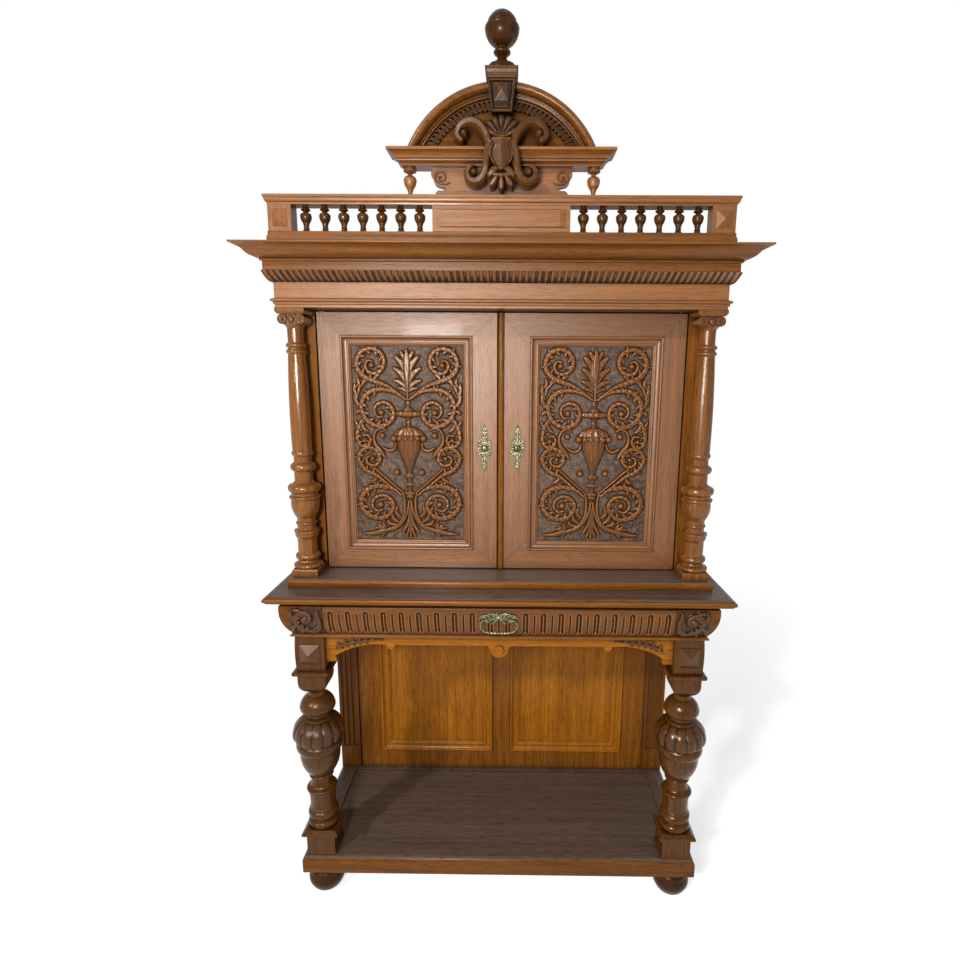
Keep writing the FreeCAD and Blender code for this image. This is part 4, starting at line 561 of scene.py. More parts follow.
class Relief:
    """Carving as heights over a sheet. Bands, leaves, domes and turned outlines are laid on it,
    and where they cross, the higher one shows."""

    def __init__(self, left, right, low, high, step, columns=None):
        columns = columns or int(round((right - left) / step)) + 1
        rows = int(round((high - low) / step)) + 1
        self.across = np.linspace(left, right, columns)
        self.up = np.linspace(low, high, rows)
        self.height = np.zeros((rows, columns))
        self.mark = None

    def grid(self):
        """The place of every point of the sheet, across and up."""
        return np.meshgrid(self.across, self.up)

    def window(self, left, right, low, high):
        """The part of the sheet inside a box: its rows, its columns and their places."""
        columns = slice(*np.searchsorted(self.across, (left, right)))
        rows = slice(*np.searchsorted(self.up, (low, high)))
        across, up = np.meshgrid(self.across[columns], self.up[rows])
        return rows, columns, across, up

    def lift(self, rows, columns, height):
        """Raise a part of the sheet to a height where that is higher."""
        part = self.height[rows, columns]
        np.maximum(part, height, out=part)

    def band(self, path, tall, groove=0.35, lobes=0.0):
        """A rounded band along a smooth line. Each row of the path is a place across and up and
        the band's half width there. The height is that of half an ellipse over the distance
        from the line, less a groove of a bell's shape down its middle. Lobes cut it across
        with a slanting half wave of that length, as the leaves round a stem do."""
        path = curve(path)
        walked = 0.0
        for start, end in zip(path, path[1:]):
            reach = max(start[2], end[2])
            rows, columns, across, up = self.window(
                min(start[0], end[0]) - reach, max(start[0], end[0]) + reach,
                min(start[1], end[1]) - reach, max(start[1], end[1]) + reach)
            run = end[:2] - start[:2]
            along = ((across - start[0]) * run[0] + (up - start[1]) * run[1]) / max(
                run @ run, 1e-12)
            along = np.clip(along, 0, 1)
            away = np.hypot(across - start[0] - along * run[0], up - start[1] - along * run[1])
            share = away / (start[2] + (end[2] - start[2]) * along)
            rise = half_round(share)
            rise *= 1 - groove * np.exp(-(share / 0.25) ** 2)
            length = np.hypot(*run)
            if lobes:
                wave = np.sin(np.pi * ((walked + along * length) / lobes + 0.55 * share))
                rise *= 0.70 + 0.30 * np.abs(wave) ** 0.6
            walked += length
            self.lift(rows, columns, rise * tall)

    def dome(self, across, up, radius, tall):
        """A round berry: the cap of an ellipsoid."""
        rows, columns, x, z = self.window(across - radius, across + radius, up - radius,
                                          up + radius)
        share = np.hypot(x - across, z - up) / radius
        self.lift(rows, columns, tall * half_round(share))

    def leaf(self, base, tip, wide, tall, bend=0.0):
        """A leaf finger from its base to its round tip, widest past its middle and bent to one
        side by a share of its length."""
        base, tip = np.array(base, float), np.array(tip, float)
        run = tip - base
        middle = base + run * 0.55 + np.array([-run[1], run[0]]) * bend
        self.band([(*base, wide * 0.45), (*middle, wide), (*tip, wide * 0.55)], tall, 0.45)

    def leaves(self, rows, tall):
        """Leaf fingers of one height. Each row is a base, a tip, a half width and a bend, with
        its lengths in millimetres."""
        for base, tip, wide, bend in rows:
            self.leaf(np.array(base) / 1000, np.array(tip) / 1000, wide / 1000, tall, bend)

    def fringe(self, path, first, last, count, side, length, wide, tall):
        """Leaf fingers in a row along a line, from its first share to its last, that lean
        forward to its left side (1) or its right side (-1)."""
        path = curve(path)[:, :2]
        steps = np.hypot(*np.diff(path, axis=0).T)
        walked = np.concatenate([[0], np.cumsum(steps)])
        for place in np.linspace(first, last, count) * walked[-1]:
            spot = np.array([np.interp(place, walked, path[:, axis]) for axis in (0, 1)])
            ahead = np.array([np.interp(place + length * 0.2, walked, path[:, axis])
                              for axis in (0, 1)]) - spot
            ahead /= max(np.hypot(*ahead), 1e-9)
            aside = np.array([-ahead[1], ahead[0]]) * side
            tip = spot + (ahead * 0.62 + aside * 0.78) * length
            self.leaf(spot, tip, wide, tall, bend=-0.16 * side)

    def turned(self, rows, tall, flutes=0, cut=0.0):
        """A turned shape seen from the side, half sunk in the sheet. Each row is a place up and
        the half width there. The height is that of a half circle across, squeezed to the given
        height at the widest row, with flutes cut round it."""
        rows = np.array(rows, float)
        widest = rows[:, 1].max()
        half = np.interp(self.up, rows[::-1, 0], rows[::-1, 1], left=0, right=0)[:, None]
        share = np.abs(self.across)[None, :] / np.maximum(half, 1e-9)
        rise = half_round(share) * (half / widest) ** 0.6
        round_it = np.arcsin(np.clip(share, 0, 1))
        rise *= 1 - cut * (0.5 + 0.5 * np.cos(flutes * round_it)) if flutes else 1
        np.maximum(self.height, rise * tall, out=self.height)

    def share(self):
        """Each point's height as a share of the way from the lowest to the highest."""
        if self.mark is not None:
            return self.mark
        low = min(self.height.min(), 0.0)
        return (self.height - low) / max(self.height.max() - low, 1e-9)

    def hollows(self, reach=0.004, most=6):
        """How deep each point lies beside its surroundings: a half where it is level, towards
        one in a hollow and towards zero on a ridge. The surroundings are the mean height of
        the square around it, as far as the reach or as the most cells."""
        tall = max(self.height.max() - min(self.height.min(), 0.0), 1e-9)
        mean = self.height
        for axis, places in ((0, self.up), (1, self.across)):
            step = abs(places[1] - places[0])
            reaches = max(1, min(int(round(reach / step)), most))
            shifted = [np.roll(np.pad(mean, most, "edge"), shift, axis)[most:-most, most:-most]
                       for shift in range(-reaches, reaches + 1)]
            mean = sum(shifted) / len(shifted)
        return np.clip(0.5 + (mean - self.height) / tall * 1.6, 0, 1)

    def mirror(self):
        """The higher of the sheet and its left-to-right mirror image."""
        self.height = np.maximum(self.height, self.height[:, ::-1])


def curve(points, pieces=7):
    """A smooth line through points. Between two of them it is the cubic that runs at each one
    in the direction from the point before it to the point after it."""
    points = np.asarray(points, float)
    ends = np.vstack([2 * points[0] - points[1], points, 2 * points[-1] - points[-2]])
    share = np.linspace(0, 1, pieces, endpoint=False)[:, None]
    runs = []
    for before, start, end, after in zip(ends, ends[1:], ends[2:], ends[3:]):
        runs.append(0.5 * (2 * start + (end - before) * share
                           + (2 * before - 5 * start + 4 * end - after) * share ** 2
                           + (3 * start - before - 3 * end + after) * share ** 3))
    return np.vstack(runs + [points[-1:]])


def in_metres(rows):
    """Rows of millimetres as rows of metres."""
    return [tuple(value / 1000 for value in row) for row in rows]


def drawn(rows, wider, larger=1.0):
    """A line of millimetres in metres, with its width and its shape made larger."""
    return [(across * larger, up * larger, wide * wider)
            for across, up, wide in in_metres(rows)]


def linked(name, data):
    """A new object in the scene."""
    obj = bpy.data.objects.new(name, data)
    bpy.context.scene.collection.objects.link(obj)
    return obj


def solid_mesh(name, points, faces, relief=None, hollows=None):
    """An object at the origin made of points and faces, smooth where it is round, with the
    relief of each point as its share of the tallest, and how hollow it lies there."""
    mesh = bpy.data.meshes.new(name)
    mesh.from_pydata(points.tolist(), [], faces)
    if relief is not None:
        level = np.full(len(points), 0.5) if hollows is None else hollows
        for label, values in (("relief", relief), ("hollow", level)):
            mark = mesh.attributes.new(label, "FLOAT", "POINT")
            mark.data.foreach_set("value", np.asarray(values, np.float32))
    shape = bmesh.new()
    shape.from_mesh(mesh)
    bmesh.ops.recalc_face_normals(shape, faces=shape.faces)
    shape.to_mesh(mesh)
    shape.free()
    mesh.shade_smooth()
    mesh.update()
    return linked(name, mesh)


def carved_mesh(name, relief, place, back):
    """The closed mesh of a relief. The sheet's points go where place(across, up, out) puts
    them. The rim goes back by a depth, or to where the function back(across, up) puts it, and
    a plain face closes the back."""
    across, up = relief.grid()
    rows, columns = across.shape
    front = np.stack(place(across, up, relief.height), -1).reshape(-1, 3)
    number = np.arange(rows * columns).reshape(rows, columns)
    rim = np.concatenate([number[0, :-1], number[:-1, -1], number[-1, :0:-1], number[:0:-1, 0]])
    hidden = back(across, up) if callable(back) else place(across, up, 0 * across - back)
    sunk = np.stack(hidden, -1).reshape(-1, 3)[rim]
    behind = np.arange(rim.size) + rows * columns
    quads = np.stack([number[:-1, :-1], number[:-1, 1:], number[1:, 1:], number[1:, :-1]],
                     -1).reshape(-1, 4)
    sides = np.stack([rim, behind, np.roll(behind, -1), np.roll(rim, -1)], -1)
    faces = quads.tolist() + sides.tolist() + [behind[::-1].tolist()]
    return solid_mesh(name, np.vstack([front, sunk]), faces,
                      np.concatenate([relief.share().ravel(), np.ones(rim.size)]),
                      np.concatenate([relief.hollows().ravel(), np.full(rim.size, 0.5)]))


def cut_out_mesh(name, relief, place, back):
    """The closed mesh of a relief cut out along its edge. Only cells with height at all four
    corners are kept, and their outer edges drop straight back to a like sheet behind."""
    across, up = relief.grid()
    high = relief.height > 0
    cells = high[:-1, :-1] & high[:-1, 1:] & high[1:, 1:] & high[1:, :-1]
    used = np.zeros(high.shape, bool)
    for rows in (slice(None, -1), slice(1, None)):
        for columns in (slice(None, -1), slice(1, None)):
            used[rows, columns] |= cells
    number = np.cumsum(used).reshape(used.shape) - 1
    count = int(used.sum())
    front = np.stack(place(across, up, relief.height), -1)[used]
    behind = np.stack(place(across, up, 0 * across - back), -1)[used]
    quads = np.stack([number[:-1, :-1][cells], number[:-1, 1:][cells], number[1:, 1:][cells],
                      number[1:, :-1][cells]], -1)
    starts = quads.ravel()
    ends = np.roll(quads, -1, axis=1).ravel()
    rim = ~np.isin(starts * count + ends, ends * count + starts)
    starts, ends = starts[rim], ends[rim]
    walls = np.stack([starts, starts + count, ends + count, ends], -1)
    faces = np.vstack([quads, quads[:, ::-1] + count, walls])
    share, hollows = relief.share()[used], relief.hollows()[used]
    obj = solid_mesh(name, np.vstack([front, behind]), faces.tolist(),
                     np.concatenate([share, share]), np.concatenate([hollows, hollows]))
    obj.data.set_sharp_from_angle(angle=CUT_EDGE)
    return obj


def middle_of(name):
    """The middle of a node's box."""
    return [(low + high) / 2 for low, high in zip(*BOX[name])]


def facing(x, y, z):
    """How a sheet lies on an upright face that looks to the front: its zero point is at x,
    y and z, and its heights come forward."""
    def place(across, up, out):
        return across + x, y - out, up + z

    return place


# The door panels: an urn between scrolls, in millimetres from the middle of the field. Each row
# is a place across and up, with a half width where it is a band's.


MOULDING_WIDTH = 0.028
CARVING_PROUD = 0.0002
TOP_SCROLL = [(4, 136, 2), (33, 158, 2.6), (63, 176, 4.5), (96, 188, 6.5), (124, 200, 7),
              (143, 224, 6.5), (143, 250, 6), (128, 272, 6), (103, 280, 5.5), (79, 271, 5.5),
              (66, 248, 5.5), (72, 223, 5), (91, 210, 5), (111, 214, 4.5), (120, 232, 4),
              (111, 246, 3), (99, 243, 2.5)]
SECOND_SCROLL = [(8, 136, 2), (29, 151, 3), (52, 161, 4.5), (84, 164, 6), (113, 155, 6.5),
                 (132, 132, 6), (135, 105, 5.5), (123, 78, 6), (98, 60, 6.5), (69, 60, 6),
                 (48, 77, 6), (43, 99, 5.5), (53, 119, 5), (73, 127, 4.5), (93, 117, 4),
                 (98, 99, 3.5), (88, 84, 3), (76, 86, 2.5)]
ROSETTE_SCROLL = [(127, 84, 2.5), (140, 66, 4.5), (149, 42, 5), (150, 18, 4.5), (140, 0, 4.5),
                  (122, -1, 4), (112, 14, 3.5), (118, 30, 3), (132, 30, 2.5)]
BERRY_STEM = [(65, 45, 2), (77, 52, 2.6), (94, 45, 3), (102, 24, 3.4), (98, 3, 4.6),
              (84, -17, 6.5), (70, -36, 1.5)]
HOOK = [(37, 5, 2), (43, -9, 3), (58, -15, 3.6), (76, -6, 2)]
SIDE_SCROLL = [(25, -147, 2.5), (63, -117, 3), (97, -89, 4.5), (123, -77, 5.5), (144, -56, 5.5),
               (149, -32, 5), (136, -12, 5), (113, -6, 5), (92, -20, 4.5), (87, -43, 4.5),
               (102, -59, 4), (122, -53, 3.5), (125, -37, 3), (115, -31, 2.4)]
SECOND_STEM = [(104, -66, 2), (63, -103, 2.4), (22, -139, 2)]
LOWER_SCROLL = [(25, -149, 2.5), (46, -131, 4), (84, -121, 6), (121, -129, 7), (144, -155, 7),
                (144, -188, 6.5), (121, -213, 6.5), (86, -220, 6.5), (60, -205, 6),
                (51, -179, 5.5), (63, -157, 5), (86, -150, 4.5), (107, -160, 4),
                (113, -181, 3.5), (99, -197, 3), (84, -194, 2.5)]
HORN = [(3, -168, 3), (8, -197, 4.2), (21, -224, 5.6), (42, -246, 6.4), (70, -257, 5.4)]
INNER_STEM = [(21, -138, 2), (16, -172, 3.2), (19, -206, 3.4), (32, -232, 1.6)]
BUD = [(76, -258, 5), (92, -263, 7.5), (112, -267, 5), (144, -269, 1.2)]
URN = [(136, 3), (131, 9), (121, 9), (116, 5), (108, 14), (101, 19), (98, 38), (90, 39),
       (87, 28), (84, 12), (79, 8), (71, 7), (67, 10), (63, 6), (57, 9), (52, 24), (45, 36),
       (38, 43), (31, 47), (29, 38), (14, 38), (12, 36), (-8, 33), (-30, 26), (-50, 17),
       (-70, 11), (-84, 8), (-87, 15), (-95, 15), (-98, 9), (-112, 8), (-114, 16), (-119, 16),
       (-122, 8), (-138, 7), (-141, 17), (-147, 17), (-149, 9), (-151, 14), (-157, 13),
       (-160, 6), (-170, 4)]
PALMETTE_STEM = [(0, 134, 2.4), (0, 168, 3.4), (0, 196, 8), (0, 228, 13), (0, 254, 10.5),
                 (0, 278, 2.5)]
# Leaves with a base, a tip, a half width and a bend: beside the scrolls, then the top palmette
# with a height in place of the bend.
PANEL_LEAVES = [
    ((96, 186), (82, 205), 6.5, -0.2), ((112, 190), (131, 176), 6, 0.2),
    ((134, 110), (153, 150), 7, -0.15), ((146, 140), (153, 178), 6.5, -0.1),
    ((144, 150), (132, 178), 5.5, -0.1), ((150, 168), (143, 194), 5.5, 0.2),
    ((133, 100), (152, 94), 6, 0.2), ((136, 74), (120, 42), 6, 0.2),
    ((148, 50), (156, 72), 5, 0.1), ((82, -16), (106, -27), 6, 0.2),
    ((80, -22), (90, -46), 6, 0.2), ((97, -88), (114, -107), 6, -0.2),
    ((60, -116), (78, -130), 5, -0.2), ((30, -216), (40, -186), 6.5, -0.25),
    ((36, -232), (55, -204), 6.5, -0.20), ((46, -240), (68, -228), 6, -0.2),
    ((2, -186), (24, -264), 6, -0.10), ((1, -190), (12, -276), 5.5, -0.06),
    ((0, -186), (0, -281), 6, 0.0), ((76, -250), (84, -236), 5, 0.0),
    ((80, -252), (97, -242), 5, 0.0), ((82, -256), (106, -251), 5, 0.1),
    ((74, -262), (88, -277), 5, 0.1)]
PALMETTE = [((4, 214), (17, 270), 9, 9.5), ((3, 194), (31, 256), 11, 10),
            ((3, 178), (36, 224), 10, 9), ((2, 164), (38, 190), 8, 8),
            ((2, 156), (28, 168), 5.5, 7)]


# Each scroll with its two fringes: their first and last share of its length, their number of
# leaves, their side and the length of a leaf.
FRINGED_SCROLLS = (
    (TOP_SCROLL, (0.26, 0.74, 8, 1, 0.021), (0.20, 0.60, 5, -1, 0.016)),
    (SECOND_SCROLL, (0.20, 0.74, 9, -1, 0.021), (0.16, 0.55, 5, 1, 0.016)),
    (ROSETTE_SCROLL, (0.20, 0.70, 5, -1, 0.015), (0.20, 0.60, 3, 1, 0.011)),
    (SIDE_SCROLL, (0.28, 0.76, 8, 1, 0.017), (0.24, 0.60, 4, -1, 0.013)),
    (LOWER_SCROLL, (0.18, 0.74, 10, -1, 0.022), (0.16, 0.55, 5, 1, 0.016)))
STEMS = (BERRY_STEM, HOOK, SECOND_STEM, HORN, INNER_STEM, BUD)
BERRIES = ((102, 233, 8), (78, 97, 8.5), (129, 15, 7), (77, 30, 8.5), (37, -80, 9),
           (108, -38, 7), (88, -178, 9))
SCROLL_WIDER, STEM_WIDER = 1.32, 1.25
LEAF_SHARE = 0.27
LEAF_TALL, BAND_TALL = 0.0085, 0.0110


def door_carving(left, right, low, high):
    """The heights of one door panel: fringed scrolls, stems, berries and leaves on one side,
    mirrored, then the palmette and the urn in the middle."""
    half, rise = (right - left) / 2, (high - low) / 2
    relief = Relief(-half, half, -rise, rise, PANEL_CELL)
    for path, *fringes in FRINGED_SCROLLS:
        line = drawn(path, SCROLL_WIDER)
        for first, last, count, side, length in fringes:
            relief.fringe(line, first, last, count, side, length, length * LEAF_SHARE, LEAF_TALL)
        relief.band(line, BAND_TALL, 0.25, lobes=0.016)
    for path in STEMS:
        relief.band(drawn(path, STEM_WIDER), BAND_TALL * 0.9, 0.15)
    for across, up, radius in in_metres(BERRIES):
        relief.dome(across, up, radius, BAND_TALL * 1.15)
    relief.leaves(PANEL_LEAVES, LEAF_TALL)
    for up in (-0.107, -0.1125):
        relief.band([(0.075, up, 0.0018), (0.126, up, 0.0018)], 0.003, 0.0)
    relief.mirror()
    for base, tip, wide, tall in PALMETTE:
        for flip in (-1, 1):
            relief.leaf((base[0] * flip / 1000, base[1] / 1000),
                        (tip[0] * flip / 1000, tip[1] / 1000), wide / 1000, tall / 1000,
                        0.12 * flip if tip[0] else 0.0)
    relief.band(in_metres(PALMETTE_STEM), 0.0125, 0.3)
    relief.turned(in_metres(URN), 0.0145, flutes=14, cut=0.14)
    for across in (-43, -26, -9, 9, 26, 43):
        relief.dome(across / 1000, 0.0215, 0.0098, 0.0170 - abs(across) * 0.00011)
    return relief


def carved_field(side):
    """The opening inside a door's panel moulding: left, right, bottom and top."""
    low, high = BOX[f"{side}_door_moulding"]
    return (low[0] + MOULDING_WIDTH, high[0] - MOULDING_WIDTH, low[2] + MOULDING_WIDTH,
            high[2] - MOULDING_WIDTH)


def make_door_carvings():
    """A carved field in each door, from the inner edge of its moulding."""
    for side in ("left", "right"):
        left, right, bottom, top = carved_field(side)
        middle, level = (left + right) / 2, (bottom + top) / 2
        relief = door_carving(left, right, bottom, top)
        face = BOX[f"{side}_door_panel"][0][1]
        place = facing(middle, face - CARVING_PROUD, level)
        piece = carved_mesh(f"{side}_door_carving", relief, place, SEAT)
        fit(piece, carved_oak("doors"), f"{side}_door")


# The case: a fluted drawer front, carved corner blocks and leaf sprays under the apron.


CASE_HALF = 0.590
# How far the case's face bulges, as a share of its chord.
CASE_SWELL_SHARE = 0.10
FLUTES = 20
FLUTE_PITCH = 0.0499
FLUTE_HALF = 0.0074
FLUTE_DEPTH = 0.0070
# The plain borders below and above the flutes.
FLUTE_FOOT = 0.006
FLUTE_HEAD = 0.012


def swell(low, high, reach):
    """The case's bulging face: how far out it stands at a height. It is the arc through the
    foot and the head of the face, whose rise is a tenth of its chord."""
    rise = high - low
    chord = math.hypot(reach, rise)
    sagitta = CASE_SWELL_SHARE * chord
    radius = chord * (1 + 4 * CASE_SWELL_SHARE ** 2) / (8 * CASE_SWELL_SHARE)
    centre_out = reach / 2 - rise / chord * (radius - sagitta)
    centre_up = (low + high) / 2 + reach / chord * (radius - sagitta)

    def out(up):
        return centre_out + np.sqrt(radius ** 2 - (up - centre_up) ** 2)

    return out


def case_face():
    """The case's bulge, and where the front of its foot is."""
    low, high = BOX["case_side_right"]
    reach = high[0] - CASE_HALF
    return swell(low[2], high[2], reach), low[1] + reach


def flute_heights(relief, foot, head):
    """Flutes cut into a face: each is a half-round channel with a round head, a reed stands in
    it on a small bead, and a thin line is cut midway to the next."""
    across, up = relief.grid()
    phase = np.mod(across, FLUTE_PITCH) - FLUTE_PITCH / 2
    inside = np.abs(across) < FLUTES * FLUTE_PITCH / 2
    past = np.maximum(up - (head - FLUTE_HALF), 0)
    away = np.hypot(phase, past) / FLUTE_HALF
    channel = -FLUTE_DEPTH * np.clip(1 - away ** 2, 0, None) ** 0.35
    reed = np.hypot(phase, np.maximum(up - (head - FLUTE_HALF * 1.7), 0)) / (FLUTE_HALF * 0.42)
    standing = -FLUTE_DEPTH * 0.98 + FLUTE_DEPTH * 0.6 * half_round(reed)
    sunk = np.where(reed < 1, np.maximum(channel, standing), channel)
    bead = np.hypot(phase, up - foot - FLUTE_HALF * 0.5) / (FLUTE_HALF * 0.6)
    sunk = np.where(bead < 1, FLUTE_DEPTH * (0.3 * half_round(bead) - 0.2), sunk)
    line = np.mod(phase + FLUTE_PITCH, FLUTE_PITCH) - FLUTE_PITCH / 2
    thin = -FLUTE_DEPTH * 0.9 * np.clip(1 - np.abs(line) / (FLUTE_HALF * 0.34), 0, None)
    sunk = np.minimum(sunk, np.where(up < head - FLUTE_HALF, thin, 0))
    relief.height = np.where(inside & (up > foot) & (up < head), sunk, 0.0)


def make_drawer_front():
    """The fluted drawer front in place of the plain one."""
    low, high = BOX["drawer_front"]
    out_at, foot_front = case_face()
    relief = Relief(low[0], high[0], low[2], high[2], CELL)
    flute_heights(relief, low[2] + FLUTE_FOOT, high[2] - FLUTE_HEAD)

    def place(across, up, out):
        return across, foot_front - out_at(up) - out, up

    def behind(across, up):
        return across, np.full_like(across, high[1]), up

    piece = carved_mesh("drawer_front_fluted", relief, place, behind)
    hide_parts("drawer_front")
    fit(piece, carved_oak("flutes"), "drawer")


CORNER_SCROLL = [(-30, -24, 2.5), (-22, -31, 3.5), (-6, -30, 4.5), (10, -22, 5), (22, -8, 5),
                 (24, 10, 5), (14, 24, 5), (-2, 25, 4.5), (-12, 14, 4), (-8, 2, 3.5),
                 (4, 1, 3), (8, 9, 2.5)]
CORNER_LEAVES = [((-11, -32), (-40, -8), 8, 0.25), ((-16, -30), (-38, 14), 8, 0.2),
                 ((-20, -16), (-33, 34), 7.5, 0.1), ((23, -11), (40, -33), 8, 0.2),
                 ((25, 7), (40, 29), 7, -0.2), ((2, -30), (18, -38), 6, 0.1),
                 ((7, 28), (29, 37), 6.5, 0.1)]
CORNER_OFFSET = 0.001
CORNER_SUNK = 0.0003
# How far behind the foot's front the middle of a corner block's side is.
FLANK_MIDDLE = 0.047


def corner_carving():
    """A scroll with leaves, on one face of a corner block."""
    relief = Relief(-0.045, 0.045, -0.043, 0.043, CELL)
    line = drawn(CORNER_SCROLL, 1.45, 1.14)
    relief.fringe(line, 0.16, 0.74, 7, 1, 0.017, 0.0052, 0.0075)
    relief.band(line, 0.0090, 0.25, lobes=0.012)
    relief.leaves(CORNER_LEAVES, 0.0080)
    relief.dome(0.001, 0.010, 0.009, 0.0105)
    return relief


def make_corner_carvings():
    """The carved fronts and sides of the case's corner blocks."""
    out_at, foot_front = case_face()
    middle = middle_of("case_side_right")[2]
    block = (BOX["drawer_front"][1][0] + CASE_HALF) / 2
    for side, sign in SIDES:
        relief = corner_carving()
        relief.height = relief.height[:, ::sign]

        def front(across, up, out):
            return (across + sign * (block + CORNER_OFFSET),
                    foot_front - out_at(up + middle) - out - CORNER_SUNK, up + middle)

        def flank(across, up, out):
            return (sign * (CASE_HALF + out_at(up + middle) + out + CORNER_SUNK),
                    foot_front + FLANK_MIDDLE + sign * across, up + middle)

        for face, place in (("front", front), ("side", flank)):
            piece = carved_mesh(f"{side}_corner_{face}_carving", relief, place, DEEP_SEAT)
            fit(piece, carved_oak("corners"))


SPRAY = [(-473, 42, 3), (-456, 53, 4.5), (-430, 61, 4.5), (-400, 66, 3.6), (-365, 70, 2.4),
         (-334, 72, 1.5)]
# Berries on the spray: the number of a point on its smooth line, and a radius.
SPRAY_BERRIES = ((4, 0.0056), (11, 0.0050), (18, 0.0042))
HUB_PROUD = 0.007


def make_apron_sprays():
    """A leaf spray at each end of the apron, under the case."""
    (_, front, low), _ = BOX["apron"]
    front += HUB_PROUD
    for side, sign in SIDES:
        relief = Relief(-0.474, -0.328, 0.0, 0.079, SPRAY_CELL)
        line = in_metres(SPRAY)
        relief.fringe(line, 0.04, 0.74, 6, 1, 0.015, 0.0062, 0.0060)
        relief.fringe(line, 0.06, 0.60, 5, -1, 0.012, 0.0056, 0.0055)
        relief.band(line, 0.0075, 0.3, lobes=0.012)
        for point, radius in SPRAY_BERRIES:
            across, up, _ = curve(line)[point]
            relief.dome(across, up, radius, 0.0090)
        if sign > 0:
            relief.height = relief.height[:, ::-1]
            relief.across = -relief.across[::-1]
        piece = cut_out_mesh(f"{side}_apron_spray", relief, facing(0.0, front, low), SEAT)
        fit(piece, carved_oak("corners"))


# The frieze's tongues, and the gadroons of the front legs.


TONGUES_ACROSS = 73
TONGUE_PROUD = 0.0062
TONGUE_LIFT = 0.0008
TONGUE_REACH = 0.019
TONGUE_HEIGHT = 0.028
TONGUE_GAP = 0.0006


def tongue_heights(relief, count, low, high):
    """A row of hanging tongues: round rods that end in points, with a short thin reed between
    each two of them, over a ground that swells forward as it rises."""
    across, up = relief.grid()
    phase = (across - relief.across[0]) / (relief.across[-1] - relief.across[0]) * count
    phase = np.mod(phase, 1) - 0.5
    rise = (up - low) / (high - low)
    narrow = np.clip(rise / 0.30, 0, 1) ** 0.7
    rod = half_round(phase / np.maximum(0.31 * narrow, 1e-6))
    between = np.minimum(phase + 0.5, 0.5 - phase)
    reed = half_round(between / 0.06) * (rise > 0.42)
    relief.height = TONGUE_PROUD * np.maximum(rod, 0.40 * reed)


def make_tongues():
    """Tongues along the frieze's moulding, with mitred ends at the corners."""
    low, high = BOX["frieze"]
    front, half, top = low[1] + TONGUE_REACH, high[0] - TONGUE_REACH, high[2]
    foot = top - TONGUE_HEIGHT

    def slope(up):
        share = np.clip((up - foot) / (top - foot), 0, 1)
        return TONGUE_LIFT + TONGUE_REACH * share ** 0.6

    def ahead(across, up, out):
        away = slope(up) + out
        return across * (half + away) / half, front - away, up

    relief = Relief(-half, half, foot, top - TONGUE_GAP, TONGUE_CELL)
    tongue_heights(relief, TONGUES_ACROSS, foot, top)
    pieces = [carved_mesh("frieze_tongues_front", relief, ahead, TONGUE_SEAT)]
    deep = high[1] - front
    beside = int(round(TONGUES_ACROSS * deep / (2 * half)))
    for side, sign in SIDES:
        relief = Relief(0, deep, foot, top - TONGUE_GAP, TONGUE_CELL)
        tongue_heights(relief, beside, foot, top)

        def flank(across, up, out, sign=sign):
            away = slope(up) + out
            along = across if sign > 0 else deep - across
            return sign * (half + away), front - away * (1 - along / deep) + along, up

        pieces.append(carved_mesh(f"frieze_tongues_{side}", relief, flank, TONGUE_SEAT))
    for piece in pieces:
        fit(piece, carved_oak("tongues"))


LEG_AXIS_Y = -0.1615
GADROONS = 14
GADROON_LOW = 0.5155
GADROON_HIGH = 0.5825
GADROON_PROUD = 0.0046
# How far they stand clear of the bulb, and how far their hidden inside lies within it.
GADROON_CLEAR = 0.0003
GADROON_SEAT = 0.012
# The columns of points of one gadroon, and the rows of all.
GADROON_COLUMNS = 16
GADROON_ROWS = 36


def make_gadroons():
    """A crown of gadroons round each front leg's bulb: lobes that are broad and round below and
    narrow to the neck. The radius at an angle is that of the turned bulb plus a half wave."""
    for side in ("left", "right"):
        axis_x, axis_y = middle_of(f"front_leg_{side}")[0], LEG_AXIS_Y
        columns, rows = GADROONS * GADROON_COLUMNS, GADROON_ROWS
        turn = np.linspace(0, 2 * math.pi, columns, endpoint=False)
        share = np.linspace(0, 1, rows)[:, None]
        up = GADROON_LOW + (GADROON_HIGH - GADROON_LOW) * share
        core = turned_radius(f"front_leg_{side}", axis_x, axis_y, up)
        lobe = np.abs(np.cos(turn * GADROONS / 2))[None, :] ** 0.75
        fall = np.clip(share / 0.10, 0, 1) ** 0.5 * np.interp(share, (0, 0.3, 1), (1, 1, 0.45))

        def around(radius, up):
            return np.stack([axis_x + radius * np.cos(turn), axis_y + radius * np.sin(turn),
                             np.broadcast_to(up, (len(up), columns))], -1).reshape(-1, 3)

        outer = around(core + GADROON_CLEAR + GADROON_PROUD * lobe * fall, up)
        inner = around((core - GADROON_SEAT)[[0, -1]], up[[0, -1]])
        number = np.arange((rows + 2) * columns).reshape(rows + 2, columns)
        ring = np.vstack([number[-2:-1], number[:-2], number[-1:], number[-2:-1]])
        after = np.roll(ring, -1, axis=1)
        faces = np.stack([ring[:-1], after[:-1], after[1:], ring[1:]], -1).reshape(-1, 4)
        # The relief share is low in the grooves between lobes: the carving's material paints
        # shade there.
        mark = np.clip((lobe * np.ones_like(share) - 0.15) / 0.6, 0, 1)
        piece = solid_mesh(f"{side}_leg_gadroons", np.vstack([outer, inner]), faces.tolist(),
                           np.concatenate([mark.ravel(), np.ones(2 * columns)]))
        fit(piece, carved_oak("legs"))


